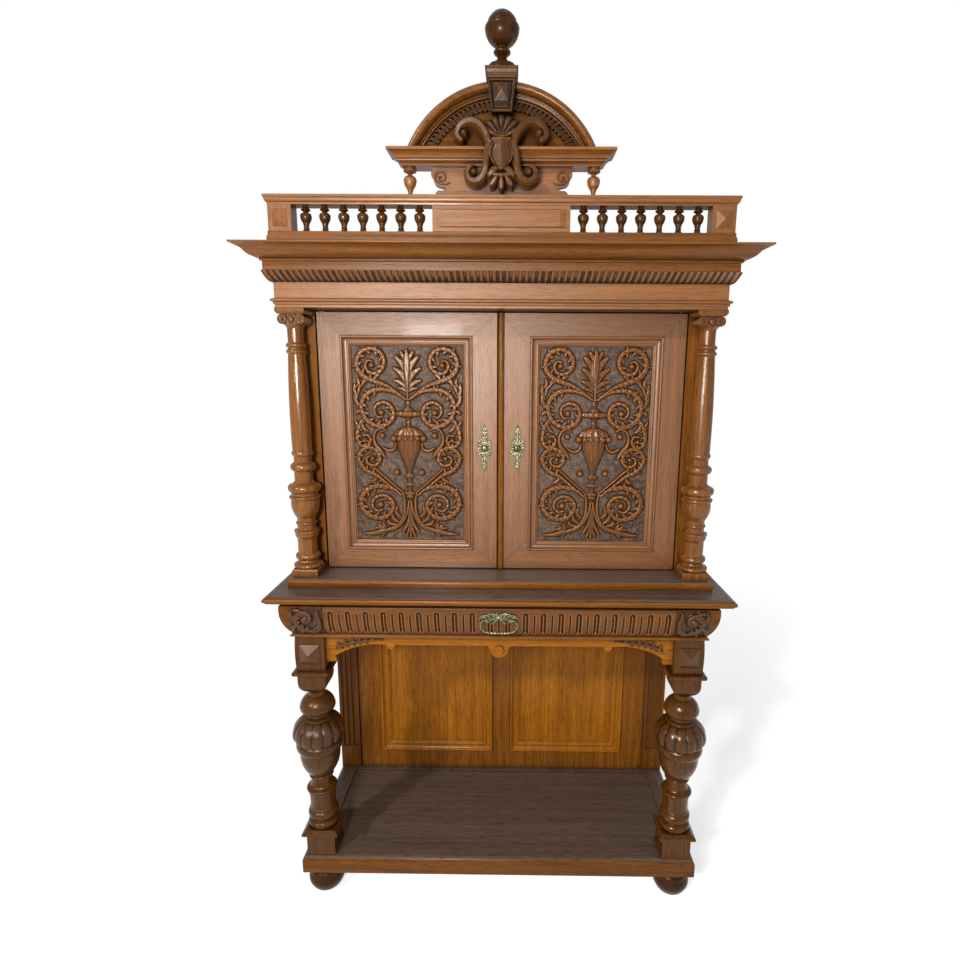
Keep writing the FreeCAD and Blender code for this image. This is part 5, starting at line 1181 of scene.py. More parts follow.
def turned_radius(name, axis_x, axis_y, up):
    """A turning's radius at each height, read off its own outline."""
    mesh = NODES[name].data
    points = np.empty(len(mesh.vertices) * 3, np.float32)
    mesh.vertices.foreach_get("co", points)
    points = points.reshape(-1, 3)
    points = points[np.argsort(points[:, 2], kind="stable")]
    away = np.hypot(points[:, 0] - axis_x, points[:, 1] - axis_y)
    return np.interp(up, points[:, 2], away)


# A leg's top block: its height, how far its face is before the leg's axis, and its point.
DIE_HEIGHT = 0.107
DIE_FACE = 0.0430
DIE_POINT_HALF = 0.030
DIE_POINT_PROUD = 0.0185
DIE_POINT_EDGE = 0.0012
DIE_POINT_SEAT = 0.006
DIE_POINT_LIFT = 0.002


def make_die_points():
    """A four-sided point on the front of the block over each front leg, in a flat border."""
    for side in ("left", "right"):
        axis_x = middle_of(f"front_leg_{side}")[0]
        middle = BOX[f"front_leg_{side}"][1][2] - DIE_HEIGHT / 2
        face = LEG_AXIS_Y - DIE_FACE
        x = axis_x + DIE_POINT_HALF * np.array([-1, 1, 1, -1])
        z = middle + DIE_POINT_HALF * np.array([-1, -1, 1, 1])
        rings = [np.stack([x, np.full(4, y), z], -1)
                 for y in (face + DIE_POINT_SEAT, face - DIE_POINT_EDGE)]
        points = np.vstack([*rings, (axis_x, face - DIE_POINT_PROUD, middle + DIE_POINT_LIFT)])
        faces = [(3, 2, 1, 0)]
        faces += [(at, (at + 1) % 4, 4 + (at + 1) % 4, 4 + at) for at in range(4)]
        faces += [(4 + at, 4 + (at + 1) % 4, 8) for at in range(4)]
        piece = solid_mesh(f"{side}_die_point", points, faces, np.ones(9))
        piece.data.shade_flat()
        fit(piece, carved_oak("legs"))


# The crest: the cartouche, the keystone, the arch with its leaf band and the board's scrolls;
# and the scrolls of the columns' capitals.


SHELL_LOBES = 7
SHELL_RADIUS = 0.0585
SHELL_TURN = 1.30
SHELL_TALL, SHELL_FLOOR = 0.017, 0.001
ARM = [(31, 12, 9), (35, 32, 10.5), (45, 53, 11.5), (60, 69, 12), (79, 76, 12),
       (97, 71, 11.5), (109, 58, 10.5), (112, 42, 9.5), (103, 32, 8)]
LOWER_ARM = [(31, 18, 9), (36, 2, 10.5), (38, -20, 11), (42, -43, 11.5), (53, -60, 11.5),
             (70, -66, 11), (84, -58, 10), (87, -42, 9), (78, -32, 7.5)]
SHIELD = [(-44, 1), (-37, 9), (-24, 19), (-9, 24), (4, 23), (13, 18.5), (20, 20), (27, 27),
          (30, 25), (31, 0)]
BLOCK_DEPTH = 0.046
# The shield: shares of its half width within which its rim, its ledge and its face lie, with
# their heights; the face falls off from its middle to its edge.
SHIELD_STEPS = ((1.30, 0.0205), (1.06, 0.0165))
SHIELD_FACE = (0.94, 0.0230, 0.0045)
CARTOUCHE_TALLEST = 0.0235
CARTOUCHE_HALF = 0.135
CARTOUCHE_FOOT = 0.0875
SHELL_UP = 0.034


def cartouche_relief(high):
    """A shield under a scallop shell, between scrolled arms, over a hanging leaf, measured from
    the cartouche's middle line and from the shield's middle. The shell is a fan round the
    shield's head: lobes of a half circle's height that swell to its rim. The carving stands on
    a block that is deepest in the middle."""
    relief = Relief(-CARTOUCHE_HALF, CARTOUCHE_HALF, -CARTOUCHE_FOOT, high, CELL)
    across, up = relief.grid()
    away = np.hypot(across, up - SHELL_UP)
    turn = np.arctan2(across, up - SHELL_UP)
    lobe = np.mod((turn / SHELL_TURN + 1) / 2 * SHELL_LOBES, 1)
    rib = half_round(2 * lobe - 1)
    reach = away / (SHELL_RADIUS * (0.86 + 0.14 * rib))
    shell = (SHELL_TALL * (0.35 + 0.65 * reach) * (0.40 + 0.60 * rib)
             * np.clip(1 - reach ** 8, 0, 1)) + SHELL_FLOOR
    relief.height = np.where((np.abs(turn) < SHELL_TURN) & (reach < 1), shell, 0.0)
    for path in (ARM, LOWER_ARM):
        relief.band(in_metres(path), 0.0215, 0.42)
    relief.dome(0.096, 0.047, 0.0095, 0.0235)
    relief.dome(0.071, -0.046, 0.0100, 0.0240)
    relief.band(in_metres([(0, -54, 9), (22, -52, 9), (40, -48, 9)]), 0.0150, 0.0)
    relief.leaf((0.004, -0.034), (0.030, -0.054), 0.011, 0.0185, 0.1)
    for place in np.linspace(-1, 1, 3):
        relief.leaf((0.012 * place, -0.058), (0.026 * place, -0.083 + 0.008 * abs(place)),
                    0.0088, 0.0180, 0.0)
    relief.mirror()
    half = np.interp(up, *np.array(SHIELD).T / 1000, left=0, right=0)
    share = np.abs(across) / np.maximum(half, 1e-6)
    inside = half > 0.0005
    reach, tall, fall = SHIELD_FACE
    for within, height in (*SHIELD_STEPS, (reach, tall - fall * share)):
        relief.height = np.where(inside & (share < within), height, relief.height)
    relief.mark = np.clip(relief.height / CARTOUCHE_TALLEST, 0, 1)
    from_middle = np.clip((np.hypot(across, up) - 0.050) / 0.080, 0, 1)
    depth = BLOCK_DEPTH * (1 - 0.36 * from_middle)
    relief.height = np.where(relief.height > 0, relief.height + depth, 0.0)
    return relief


def make_cartouche():
    """The carved cartouche in place of the plain one."""
    (_, _, low), (_, back, high) = BOX["crest_cartouche"]
    middle = low + CARTOUCHE_FOOT
    relief = cartouche_relief(high - middle)
    place = facing(0.0, back, middle)
    piece = cut_out_mesh("crest_cartouche_carved", relief, place, 0.0)
    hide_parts("crest_cartouche")
    fit(piece, carved_oak("crest"))


KEYSTONE_FOOT_SHARE = 0.62
KEYSTONE_HEAD_SHARE = 0.86
KEYSTONE_CAP = 0.024
KEYSTONE_REACH = 0.0095
KEYSTONE_GAP = 0.0003
KEYSTONE_SET_BACK = 0.0005
KEYSTONE_COLUMNS = 61
# The keystone's panel: where it sinks and where its field rises again, how wide these slopes
# are, their heights, and its point's middle, half sizes and height.
PANEL_EDGE, FIELD_EDGE, PANEL_SLOPE = 0.0055, 0.0085, 0.0012
PANEL_SUNK, FIELD_RISE = 0.0050, 0.0032
POINT_UP, POINT_HALF, POINT_RISE, POINT_TALL = 0.048, 0.017, 0.022, 0.0105
# The steps of the keystone's cap: heights above its foot, and how far each stands out.
CAP_UP = (0, 0.004, 0.0041, 0.010, 0.0101, 0.019, 0.0191, KEYSTONE_CAP)
CAP_OUT = (0.003, 0.004, 0.0062, 0.0062, 0.0040, 0.0070, 0.0095, 0.0095)


def make_keystone():
    """The keystone with its framed, pointed panel and its moulded cap, in place of the plain
    one. Its width runs straight from foot to cap; the panel is sunk, and a point with four
    sides rises from its upper part."""
    (_, face, low), (half, back, high) = BOX["crest_keystone"]
    cap = high - KEYSTONE_CAP
    relief = Relief(-1, 1, low, high - KEYSTONE_GAP, KEYSTONE_CELL, KEYSTONE_COLUMNS)
    across, up = relief.grid()
    rise = (up - low) / (cap - low)
    wide = half * np.interp(rise, (0, 1), (KEYSTONE_FOOT_SHARE, KEYSTONE_HEAD_SHARE))
    inset = np.minimum(wide * (1 - np.abs(across)), np.minimum(up - low, cap - up))
    sunk = np.clip((inset - PANEL_EDGE) / PANEL_SLOPE, 0, 1)
    field = np.clip((inset - FIELD_EDGE) / PANEL_SLOPE, 0, 1)
    point = np.maximum(np.abs(across) * wide / POINT_HALF,
                       np.abs(up - low - POINT_UP) / POINT_RISE)
    panel = (-PANEL_SUNK * sunk + FIELD_RISE * field
             + POINT_TALL * np.clip(1 - point, 0, 1) * field)
    steps = np.interp(up - cap, CAP_UP, CAP_OUT)
    over = up > cap
    relief.height = np.where(over, steps, panel) - KEYSTONE_SET_BACK
    spread = np.where(over, half - KEYSTONE_REACH + steps, wide)

    def place(side, level, out):
        return side * spread, face + KEYSTONE_REACH - out, level

    def behind(side, level):
        return side * spread, np.full_like(side, back), level

    piece = carved_mesh("crest_keystone_panelled", relief, place, behind)
    piece.data.set_sharp_from_angle(angle=MOULDED_EDGE)
    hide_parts("crest_keystone")
    fit(piece, carved_oak("crest"))


# The arch's moulding from its inner edge out: the share of its width and of its depth before
# the board where each run ends, and one where the run up to there is round.
ARCH_RUNS = [(0.00, 0.30, 0), (0.14, 0.30, 1), (0.18, 0.32, 0), (0.30, 0.32, 1),
             (0.34, 0.36, 0), (1.00, 0.36, 1)]
ARCH_DROP = 0.106
ARCH_BAND = 0.036
ARCH_STEPS = 70
KEYSTONE_HALF = 0.031


def arch_circle():
    """The height of the arch's middle, which lies under the cornice that it stands on, and its
    outer radius, from its half width on the cornice."""
    foot = BOX["crest_cornice"][1][2]
    return foot - ARCH_DROP, math.hypot(BOX["crest_arch"][1][0], ARCH_DROP)


def arch_profile():
    """Points of the arch's section: straight runs join them, and a round run swells forward as
    half an ellipse, its height in proportion to its width."""
    rows = [(0.0, 0.0)]
    for (start, low, _), (end, high, is_round) in zip(ARCH_RUNS, ARCH_RUNS[1:]):
        along = np.linspace(0, 1, 18 if is_round else 2)
        round_up = half_round(2 * along - 1) * (end - start) * is_round
        rows += zip(start + (end - start) * along, low + (high - low) * along + round_up)
    return np.array(rows + [(1.0, 0.0)])


def make_arch():
    """The crest's round moulding in place of the stepped one: a section swept round the arch's
    middle on both sides of the keystone, cut level where it stands on the cornice."""
    (_, front, _), (_, back, _) = BOX["crest_arch"]
    centre, outer = arch_circle()
    board = BOX["crest_tympanum"][0][1]
    share, proud = arch_profile().T
    away = outer - ARCH_BAND * (1 - share)
    depth = np.where(proud > 0, board + (front - board) * np.minimum(proud, 1.0), back)
    lean = np.arcsin(ARCH_DROP / away)
    crown = np.arccos(KEYSTONE_HALF / away)
    turn = lean + (crown - lean) * np.linspace(0, 1, ARCH_STEPS)[:, None]
    wide = share.size
    half = np.stack((away * np.cos(turn), np.broadcast_to(depth, turn.shape),
                     centre + away * np.sin(turn)), axis=-1).reshape(-1, 3)
    row, column = np.meshgrid(np.arange(ARCH_STEPS - 1), np.arange(wide), indexing="ij")
    beside = (column + 1) % wide
    quads = np.stack((row * wide + column, row * wide + beside, (row + 1) * wide + beside,
                      (row + 1) * wide + column), axis=-1).reshape(-1, 4)
    ends = np.stack((np.arange(wide), np.arange(wide) + (ARCH_STEPS - 1) * wide))
    faces = [*quads.tolist(), *(quads + len(half)).tolist(), *ends.tolist(),
             *(ends + len(half)).tolist()]
    piece = solid_mesh("crest_arch_moulded", np.vstack((half, half * (-1, 1, 1))), faces)
    piece.data.set_sharp_from_angle(angle=MOULDED_EDGE)
    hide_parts("crest_arch")
    fit(piece, MADE["arch"])


BAND_LEAVES = 36
BAND_WIDTH = 0.025
BAND_GAP = 0.0015
BAND_COLUMNS = 520
# Where the band's plain rim starts, its height and the leaves'.
BAND_RIM, BAND_RIM_TALL, BAND_LEAF_TALL = 0.93, 0.0055, 0.0075


def make_leaf_band():
    """Leaves side by side along the inside of the arch. Each leaf is a round-ended lobe with a
    vein, bent round the arch's middle."""
    centre, outer = arch_circle()
    front = BOX["crest_tympanum"][0][1]
    edge = outer - ARCH_BAND - BAND_GAP
    floor = math.asin(ARCH_DROP / (edge - BAND_WIDTH))
    relief = Relief(floor, math.pi - floor, edge - BAND_WIDTH, edge, CELL, BAND_COLUMNS)
    turn, up = relief.grid()
    rise = (up - relief.up[0]) / (relief.up[-1] - relief.up[0])
    walked = (turn - floor) / (math.pi - 2 * floor)
    lean = 0.55 * rise * np.sign(0.5 - walked)
    phase = np.mod(walked * BAND_LEAVES + lean, 1) - 0.5
    wide = 0.50 * np.sqrt(np.clip(1 - np.abs(rise * 2.2 - 0.96) ** 2.4, 0, 1))
    share = np.abs(phase) / np.maximum(wide, 1e-6)
    leaf = half_round(share) * (1 - 0.5 * np.exp(-(share / 0.22) ** 2))
    relief.height = np.where(rise > BAND_RIM, BAND_RIM_TALL, BAND_LEAF_TALL * leaf)

    def place(turn, away, out):
        return -away * np.cos(turn), front - out, centre + away * np.sin(turn)

    piece = carved_mesh("crest_leaf_band", relief, place, DEEP_SEAT)
    fit(piece, carved_oak("corners"))


BOARD_SCROLL = [(24, -12, 1.4), (17, -16, 2), (3, -16, 2.2), (-12, -8, 2.2), (-13, 7, 2.2),
                (0, 14, 2.2), (12, 6, 2), (10, -6, 1.8), (-2, -7, 1.6), (-5, 2, 1.4)]
BOARD_SCROLL_ACROSS = 0.160
BOARD_SCROLL_UP = 2.109


def make_board_scrolls():
    """A raised scroll at each end of the crest board."""
    front = BOX["crest_tympanum"][0][1]
    for side, sign in SIDES:
        relief = Relief(-0.028, 0.028, -0.022, 0.020, SCROLL_CELL)
        relief.band(drawn(BOARD_SCROLL, 1.2), 0.0052, 0.0)
        relief.dome(0.0, 0.001, 0.0036, 0.0058)
        relief.height = relief.height[:, ::-sign]
        place = facing(sign * BOARD_SCROLL_ACROSS, front, BOARD_SCROLL_UP)
        piece = cut_out_mesh(f"{side}_board_scroll", relief, place, SHALLOW_SEAT)
        fit(piece, carved_oak("crest"))


VOLUTE_SCROLL = [(4, 12, 1.2), (-4, 11.5, 1.3), (-11, 5, 1.4), (-11, -5, 1.4), (-3, -11, 1.4),
                 (7, -8, 1.3), (9, 1, 1.2), (3, 7, 1.1), (-4, 4, 1.0), (-4, -3, 1.0),
                 (2, -4, 0.9)]
VOLUTE_DEPTH = 0.062
VOLUTE_ACROSS = 0.0235
VOLUTE_DROP = 0.0135
VOLUTE_INNER = 0.010
ABACUS_HEIGHT = 0.016


def make_volutes():
    """Scrolls on the faces of the columns' capitals, with an egg between them."""
    for side in ("left", "right"):
        middle, axis, _ = middle_of(f"column_{side}")
        front = axis - VOLUTE_DEPTH / 2
        level = BOX[f"column_{side}"][1][2] - ABACUS_HEIGHT - VOLUTE_DROP
        relief = Relief(-0.040, 0.040, -0.0132, 0.0132, FINE_CELL)
        relief.band([(VOLUTE_ACROSS + across, up, wide)
                     for across, up, wide in in_metres(VOLUTE_SCROLL)], 0.0026, 0.0)
        relief.dome(VOLUTE_ACROSS, 0.0, 0.003, 0.0032)
        relief.height[:, relief.across < VOLUTE_INNER] = 0
        relief.mirror()
        relief.dome(0.0, -0.001, 0.0085, 0.0045)
        piece = cut_out_mesh(f"{side}_volute_carving", relief, facing(middle, front, level),
                             SHALLOW_SEAT)
        fit(piece, carved_oak("legs"))


# Brasswork: the escutcheons, the pull's plate and its bail.


# Leaves with a base, a tip, a half width and, for the pull, a bend, in millimetres.
ESCUTCHEON_LEAVES = [((0, 12), (8, 26), 3.4), ((2, 10), (17, 24), 3.6), ((8, 6), (20, 15), 3.4),
                     ((9, 0), (20.5, 6), 3.2), ((0, 26), (7, 41), 2.8), ((0, 42), (6, 52), 3.2),
                     ((0, 50), (4, 61), 2.8)]
PULL_LEAVES = [((4, 2), (20, 18), 4.5, 0.1), ((10, 0), (32, 15), 4.5, 0.15),
               ((18, -2), (44, 10), 4.2, 0.15), ((28, -4), (57, 2), 4.0, 0.1),
               ((20, -4), (40, -10), 4.0, -0.2), ((8, -6), (22, -17), 4.2, -0.1),
               ((2, 4), (6, 20), 4.2, 0.0), ((34, 0), (52, 8), 3.4, 0.2)]
PULL_STEM = [(0, -2, 8), (20, -2, 5.5), (40, -3, 4), (52, 0, 2.4)]
BAIL_ARM = [(28, 0, 1.7), (36, 0.2, 1.7), (45, -0.5, 2.0), (50.5, -8, 2.3), (51, -18, 2.6),
            (46, -28, 2.7), (37, -34, 2.5), (30, -33, 2.6)]
KEYHOLE_FLOOR = 0.0003
# The thin ring round an escutcheon's disc: its two radii and its height.
RING_INSIDE, RING_OUTSIDE, RING_TALL = 0.0088, 0.0102, 0.0006
# How far the bail's pivots lie under its highest point.
BAIL_TOP = 0.00448
# The bail's bar: half its length, how far it hangs under the arms' ends, its radius, and the
# length and the swelling of its beads.
BAR_HALF, BAR_DROP, BAR_RADIUS = 0.028, 0.0035, 0.0026
BEAD_LENGTH, BEAD_PROUD = 0.0187, 0.0012
BAR_POINTS = 61


def cut_keyhole(relief, middle, radius, half, foot):
    """A keyhole in a plate: a round hole about a middle, over a slot down to a foot."""
    across, up = relief.grid()
    slot = (np.abs(across) < half) & (up < middle) & (up > foot)
    relief.height[(np.hypot(across, up - middle) < radius) | slot] = KEYHOLE_FLOOR


def escutcheon_relief(with_key):
    """Pierced leafwork round a disc, the same on its left and right and above and below."""
    relief = Relief(-0.021, 0.021, -0.069, 0.069, FINE_CELL)
    for flip in (1, -1):
        relief.leaves([((base[0], base[1] * flip), (tip[0], tip[1] * flip), wide, -0.15 * flip)
                       for base, tip, wide in ESCUTCHEON_LEAVES], 0.0024)
        relief.band(in_metres([(0, 8 * flip, 5), (0, 30 * flip, 3.6), (0, 50 * flip, 3.4),
                               (0, 64 * flip, 2.2)]), 0.0026, 0.25)
        relief.dome(0, 0.0665 * flip, 0.0026, 0.0030)
    relief.mirror()
    relief.dome(0, 0, 0.0130, 0.0024)
    away = np.hypot(*relief.grid())
    relief.height[(away > RING_INSIDE) & (away < RING_OUTSIDE)] = RING_TALL
    relief.dome(0, 0, 0.0090, 0.0048)
    if with_key:
        cut_keyhole(relief, 0.002, 0.0026, 0.0014, -0.0075)
    return relief


def make_escutcheons():
    """Leafy brass escutcheons in place of the plain ones."""
    for side in ("left", "right"):
        middle, _, level = middle_of(f"{side}_escutcheon")
        place = facing(middle, BOX[f"{side}_door_frame"][0][1], level)
        piece = cut_out_mesh(f"{side}_escutcheon_cast", escutcheon_relief(side == "right"),
                             place, 0.0)
        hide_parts(f"{side}_escutcheon")
        fit(piece, MADE["cast brass"], f"{side}_door")


def make_pull():
    """The drawer's leafy pull plate, the bail that hangs from it and the bail's turned bar."""
    out_at, foot_front = case_face()
    level = middle_of("drawer_pull_plate")[2]
    relief = Relief(-0.0595, 0.0595, -0.0215, 0.0215, FINE_CELL)
    relief.leaves(PULL_LEAVES, 0.0042)
    relief.band(in_metres(PULL_STEM), 0.0034, 0.2)
    relief.dome(0.035, -0.004, 0.0048, 0.0085)
    relief.mirror()
    relief.dome(0, -0.002, 0.0105, 0.0060)
    cut_keyhole(relief, 0.0, 0.0024, 0.0013, -0.008)

    def place(across, up, out):
        return across, foot_front - out_at(up + level) - out, up + level

    plate = cut_out_mesh("drawer_pull_leaves", relief, place, BRASS_SEAT)
    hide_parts("drawer_pull_plate")
    fit(plate, MADE["cast brass"], "drawer")
    bail = swept("drawer_pull_ring", *bail_line())
    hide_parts("drawer_pull_bail")
    fit(bail, MADE["brass"], "drawer_bail")


def bail_line():
    """The bail's middle line and its radius along it: two bowed arms and a bar between them
    that swells in beads."""
    pivot_up = BOX["drawer_pull_bail"][1][2] - BAIL_TOP
    depth = middle_of("drawer_pull_bail")[1]
    arm = curve(BAIL_ARM) / 1000
    across = np.linspace(BAR_HALF, -BAR_HALF, BAR_POINTS)
    share = np.abs(across) / BAR_HALF
    beads = np.abs(np.cos(across * 2 * math.pi / BEAD_LENGTH))
    radius = BAR_RADIUS + BEAD_PROUD * beads * (1 - share * 0.4)
    bar = np.stack([across, np.full_like(across, arm[-1][1] - BAR_DROP), radius], -1)
    left = arm[::-1] * (-1, 1, 1)
    line = np.vstack([arm, bar, left])
    points = np.stack([line[:, 0], np.full(len(line), depth), pivot_up + line[:, 1]], -1)
    return points, line[:, 2]


def swept(name, points, radii, sides=14):
    """A round rod along a line in a plane of constant depth. At each point of the line a ring
    stands square to it, with the rod's radius there, and the ends are closed."""
    ahead = np.gradient(points, axis=0)
    ahead /= np.linalg.norm(ahead, axis=1, keepdims=True)
    deep = np.array([0.0, 1.0, 0.0])
    aside = np.cross(ahead, deep)
    turn = np.linspace(0, 2 * math.pi, sides, endpoint=False)
    rings = (points[:, None, :] + radii[:, None, None]
             * (np.cos(turn)[None, :, None] * aside[:, None, :]
                + np.sin(turn)[None, :, None] * deep[None, None, :]))
    count = len(points)
    number = np.arange(count * sides).reshape(count, sides)
    after = np.roll(number, -1, axis=1)
    quads = np.stack([number[:-1], number[1:], after[1:], after[:-1]], -1).reshape(-1, 4)
    faces = quads.tolist() + [number[0].tolist(), number[-1][::-1].tolist()]
    return solid_mesh(name, rings.reshape(-1, 3), faces)


# The studio: a wide, flat pale floor, a white background, soft lamps and the camera.


WHITE = (1, 1, 1, 1)
FLOOR_HALF = 9.0
FLOOR_SHARE = 0.55
# The floor's two shades, its glow near the cabinet and far off, and the distances where the
# glow starts to change and where it is done.
FLOOR_SHADES = (0.89, 0.91)
NEAR_GLOW, FAR_GLOW = 1.62, 2.05
NEAR, FAR = 1.2, 3.2
WORLD_LEVEL = 0.15
WORLD_REFLECTED = 0.55
CAMERA_SPOT = (0.0353, -1.8084, 1.6169)
# In degrees: the pitch is up from level.
CAMERA_YAW, CAMERA_PITCH, CAMERA_ROLL = 0.442, -10.877, 0.377
# Lamps: a name, a kind, a spot, an aim, a size and a power. A sun's size is its width in degrees.
LAMPS = (("Key lamp", "SUN", (-1.9, -2.8, 3.4), (0, 0, 1.2), 4, 1.45),
         ("Side lamp", "SUN", (3.0, -2.2, 2.6), (0, 0, 1.2), 24, 0.15),
         ("Front lamp", "AREA", (-0.46, -2.10, 1.72), (-0.08, 0, 1.42), 0.34, 40.0))


def white_where_seen(tree, reflected=1.0):
    """One for rays straight from the camera or through glass, the reflected share for rays
    from a reflection, else zero."""
    path = tree.nodes.new("ShaderNodeLightPath").outputs
    mirrored = maths(tree, "MULTIPLY", path["Is Glossy Ray"], reflected)
    seen = maths(tree, "MAXIMUM", path["Is Camera Ray"], mirrored)
    return maths(tree, "MAXIMUM", seen, path["Is Transmission Ray"])


def floor_material():
    """Pale floor: it shows white to the camera where nothing shades it, and keeps the
    cabinet's shadow."""
    material, tree = new_material("Studio floor")
    position = tree.nodes.new("ShaderNodeTexCoord").outputs["Object"]
    pale = mix_colour(tree, noise(tree, position, 3.0, 2.0)[0],
                      *(opaque((shade,) * 3) for shade in FLOOR_SHADES))
    matt = add(tree, "ShaderNodeBsdfPrincipled", Base_Color=pale, Roughness=1.0,
               Specular_IOR_Level=0.0)
    away = add(tree, "ShaderNodeVectorMath", p_operation="LENGTH", i0=position).outputs["Value"]
    glow = add(tree, "ShaderNodeEmission", Color=WHITE,
               Strength=remap(tree, away, NEAR, FAR, NEAR_GLOW, FAR_GLOW))
    mask = maths(tree, "MULTIPLY", white_where_seen(tree), 1.0 - FLOOR_SHARE)
    mixed = add(tree, "ShaderNodeMixShader", i0=mask, i1=matt.outputs[0], i2=glow.outputs[0])
    add(tree, "ShaderNodeOutputMaterial", Surface=mixed.outputs[0])
    return material


def add_floor():
    """The studio's floor, on a level with the feet."""
    mesh = bpy.data.meshes.new("studio_floor")
    half = FLOOR_HALF
    mesh.from_pydata([(-half, -half, 0), (half, -half, 0), (half, half, 0), (-half, half, 0)], [],
                     [(0, 1, 2, 3)])
    mesh.update()
    floor = linked("studio_floor", mesh)
    dress(floor, floor_material())


def add_world():
    """The surroundings: white to the camera and dim as a light."""
    world = bpy.data.worlds.new("Studio")
    world.use_nodes = True
    bpy.context.scene.world = world
    tree = world.node_tree
    tree.nodes.clear()
    strength = remap(tree, white_where_seen(tree, WORLD_REFLECTED), 0.0, 1.0, WORLD_LEVEL, 1.0)
    background = add(tree, "ShaderNodeBackground", Color=WHITE, Strength=strength)
    add(tree, "ShaderNodeOutputWorld", Surface=background.outputs[0])


def add_lamp(name, kind, spot, aim, size, power):
    """A soft lamp that shines from a spot to an aim: a sun, or a square one of a size."""
    data = bpy.data.lights.new(name, kind)
    data.energy = power
    if kind == "SUN":
        data.angle = math.radians(size)
    else:
        data.size = size
    turn = (Vector(spot) - Vector(aim)).to_track_quat("Z", "Y").to_matrix().to_4x4()
    linked(name, data).matrix_world = Matrix.Translation(spot) @ turn


def add_camera():
    """The photograph's camera. It turns by its yaw, then its pitch, then its roll about its own
    axis."""
    data = bpy.data.cameras.new("Camera")
    data.sensor_width = 36
    data.lens = 22.5
    data.shift_x = -0.0293
    data.shift_y = 0.0047
    data.clip_start = 0.05
    camera = linked("Camera", data)
    matrix = Matrix.Translation(CAMERA_SPOT)
    for angle, axis in ((CAMERA_YAW, "Z"), (90 + CAMERA_PITCH, "X"), (CAMERA_ROLL, "Z")):
        matrix = matrix @ Matrix.Rotation(math.radians(angle), 4, axis)
    camera.matrix_world = matrix
    bpy.context.scene.camera = camera


def make_studio():
    """The floor, the surroundings, the lamps and the camera."""
    add_floor()
    add_world()
    for lamp in LAMPS:
        add_lamp(*lamp)
    add_camera()
    bpy.context.scene.view_settings.view_transform = "Standard"


def colour_property(name, words, value):
    return bpy.props.FloatVectorProperty(name=name, description=words, default=value, size=3,
                                         subtype="COLOR", min=0.0, max=1.0)


class BuffetFinish(bpy.types.PropertyGroup):
    oak_light: colour_property("Oak light", "Lighter stain of the oak", (0.270, 0.092, 0.010))
    oak_dark: colour_property("Oak dark", "Darker stain of the oak", (0.078, 0.023, 0.0025))
    door_light: colour_property("Doors light", "Lighter stain of the door frames",
                                (0.262, 0.090, 0.014))
    door_dark: colour_property("Doors dark", "Darker stain of the door frames",
                               (0.078, 0.026, 0.004))
    leg_light: colour_property("Turnings light", "Lighter stain of the turnings",
                               (0.110, 0.038, 0.005))
    leg_dark: colour_property("Turnings dark", "Darker stain of the turnings",
                              (0.032, 0.011, 0.002))
    panel_light: colour_property("Panels light", "Lighter stain of the back panels and apron",
                                 (0.40, 0.140, 0.009))
    panel_dark: colour_property("Panels dark", "Darker stain of the back panels and apron",
                                (0.150, 0.046, 0.003))
    carving_light: colour_property("Carving light", "Lighter stain of the carvings",
                                   (0.190, 0.066, 0.010))
    carving_dark: colour_property("Carving dark", "Darker stain of the carvings",
                                  (0.066, 0.022, 0.004))
    crest_light: colour_property("Crest light", "Lighter stain of the crest's carvings",
                                 (0.135, 0.047, 0.007))
    crest_dark: colour_property("Crest dark", "Darker stain of the crest's carvings",
                                (0.040, 0.014, 0.0025))
    # Faces that look up: greyer and darker, partly grime and partly a painted sheen of light.
    top_light: colour_property("Tops light", "Lighter stain of faces that look up",
                               (0.135, 0.092, 0.066))
    top_dark: colour_property("Tops dark", "Darker stain of faces that look up",
                              (0.066, 0.045, 0.032))
    ground_light: colour_property("Ground light", "Raised specks of the carved ground",
                                  (0.150, 0.090, 0.060))
    ground_dark: colour_property("Ground dark", "Pits of the carved ground",
                                 (0.012, 0.007, 0.004))
    brass_bright: colour_property("Brass bright", "Rubbed brass", (0.38, 0.35, 0.19))
    brass_dull: colour_property("Brass dull", "Brass under its patina", (0.12, 0.11, 0.065))
    figure: bpy.props.FloatProperty(name="Figure", description="How strong growth rings show",
                                    default=0.7, min=0.0, max=1.0, subtype="FACTOR")
    pores: bpy.props.FloatProperty(name="Pores", description="How strong pores show",
                                   default=0.7, min=0.0, max=1.0, subtype="FACTOR")
    # How much edges are lightened: rubbed wear and a painted highlight.
    edge_wear: bpy.props.FloatProperty(name="Edge wear", description="How much edges are rubbed",
                                       default=0.40, min=0.0, max=1.0, subtype="FACTOR")
    # How strong the painted shade in hollows is.
    grime: bpy.props.FloatProperty(name="Grime", description="How much hollows are darkened",
                                   default=0.8, min=0.0, max=1.0, subtype="FACTOR")


class BUFFET_OT_finish(bpy.types.Operator):
    """Give every board, turning and fitting of the frame its finish"""
    bl_idname = "buffet.finish"
    bl_label = "Finish the frame"

    def execute(self, context):
        finish_frame()
        return {"FINISHED"}


class BUFFET_OT_door_carvings(bpy.types.Operator):
    """Carve the urn and scrolls of both door panels"""
    bl_idname = "buffet.door_carvings"
    bl_label = "Door carvings"

    def execute(self, context):
        make_door_carvings()
        return {"FINISHED"}


class BUFFET_OT_drawer_front(bpy.types.Operator):
    """Flute the drawer front"""
    bl_idname = "buffet.drawer_front"
    bl_label = "Drawer front"

    def execute(self, context):
        make_drawer_front()
        return {"FINISHED"}


class BUFFET_OT_corner_carvings(bpy.types.Operator):
    """Carve the corner blocks of the case"""
    bl_idname = "buffet.corner_carvings"
    bl_label = "Corner carvings"

    def execute(self, context):
        make_corner_carvings()
        return {"FINISHED"}


class BUFFET_OT_apron_sprays(bpy.types.Operator):
    """Carve the leaf sprays at both ends of the apron"""
    bl_idname = "buffet.apron_sprays"
    bl_label = "Apron sprays"

    def execute(self, context):
        make_apron_sprays()
        return {"FINISHED"}


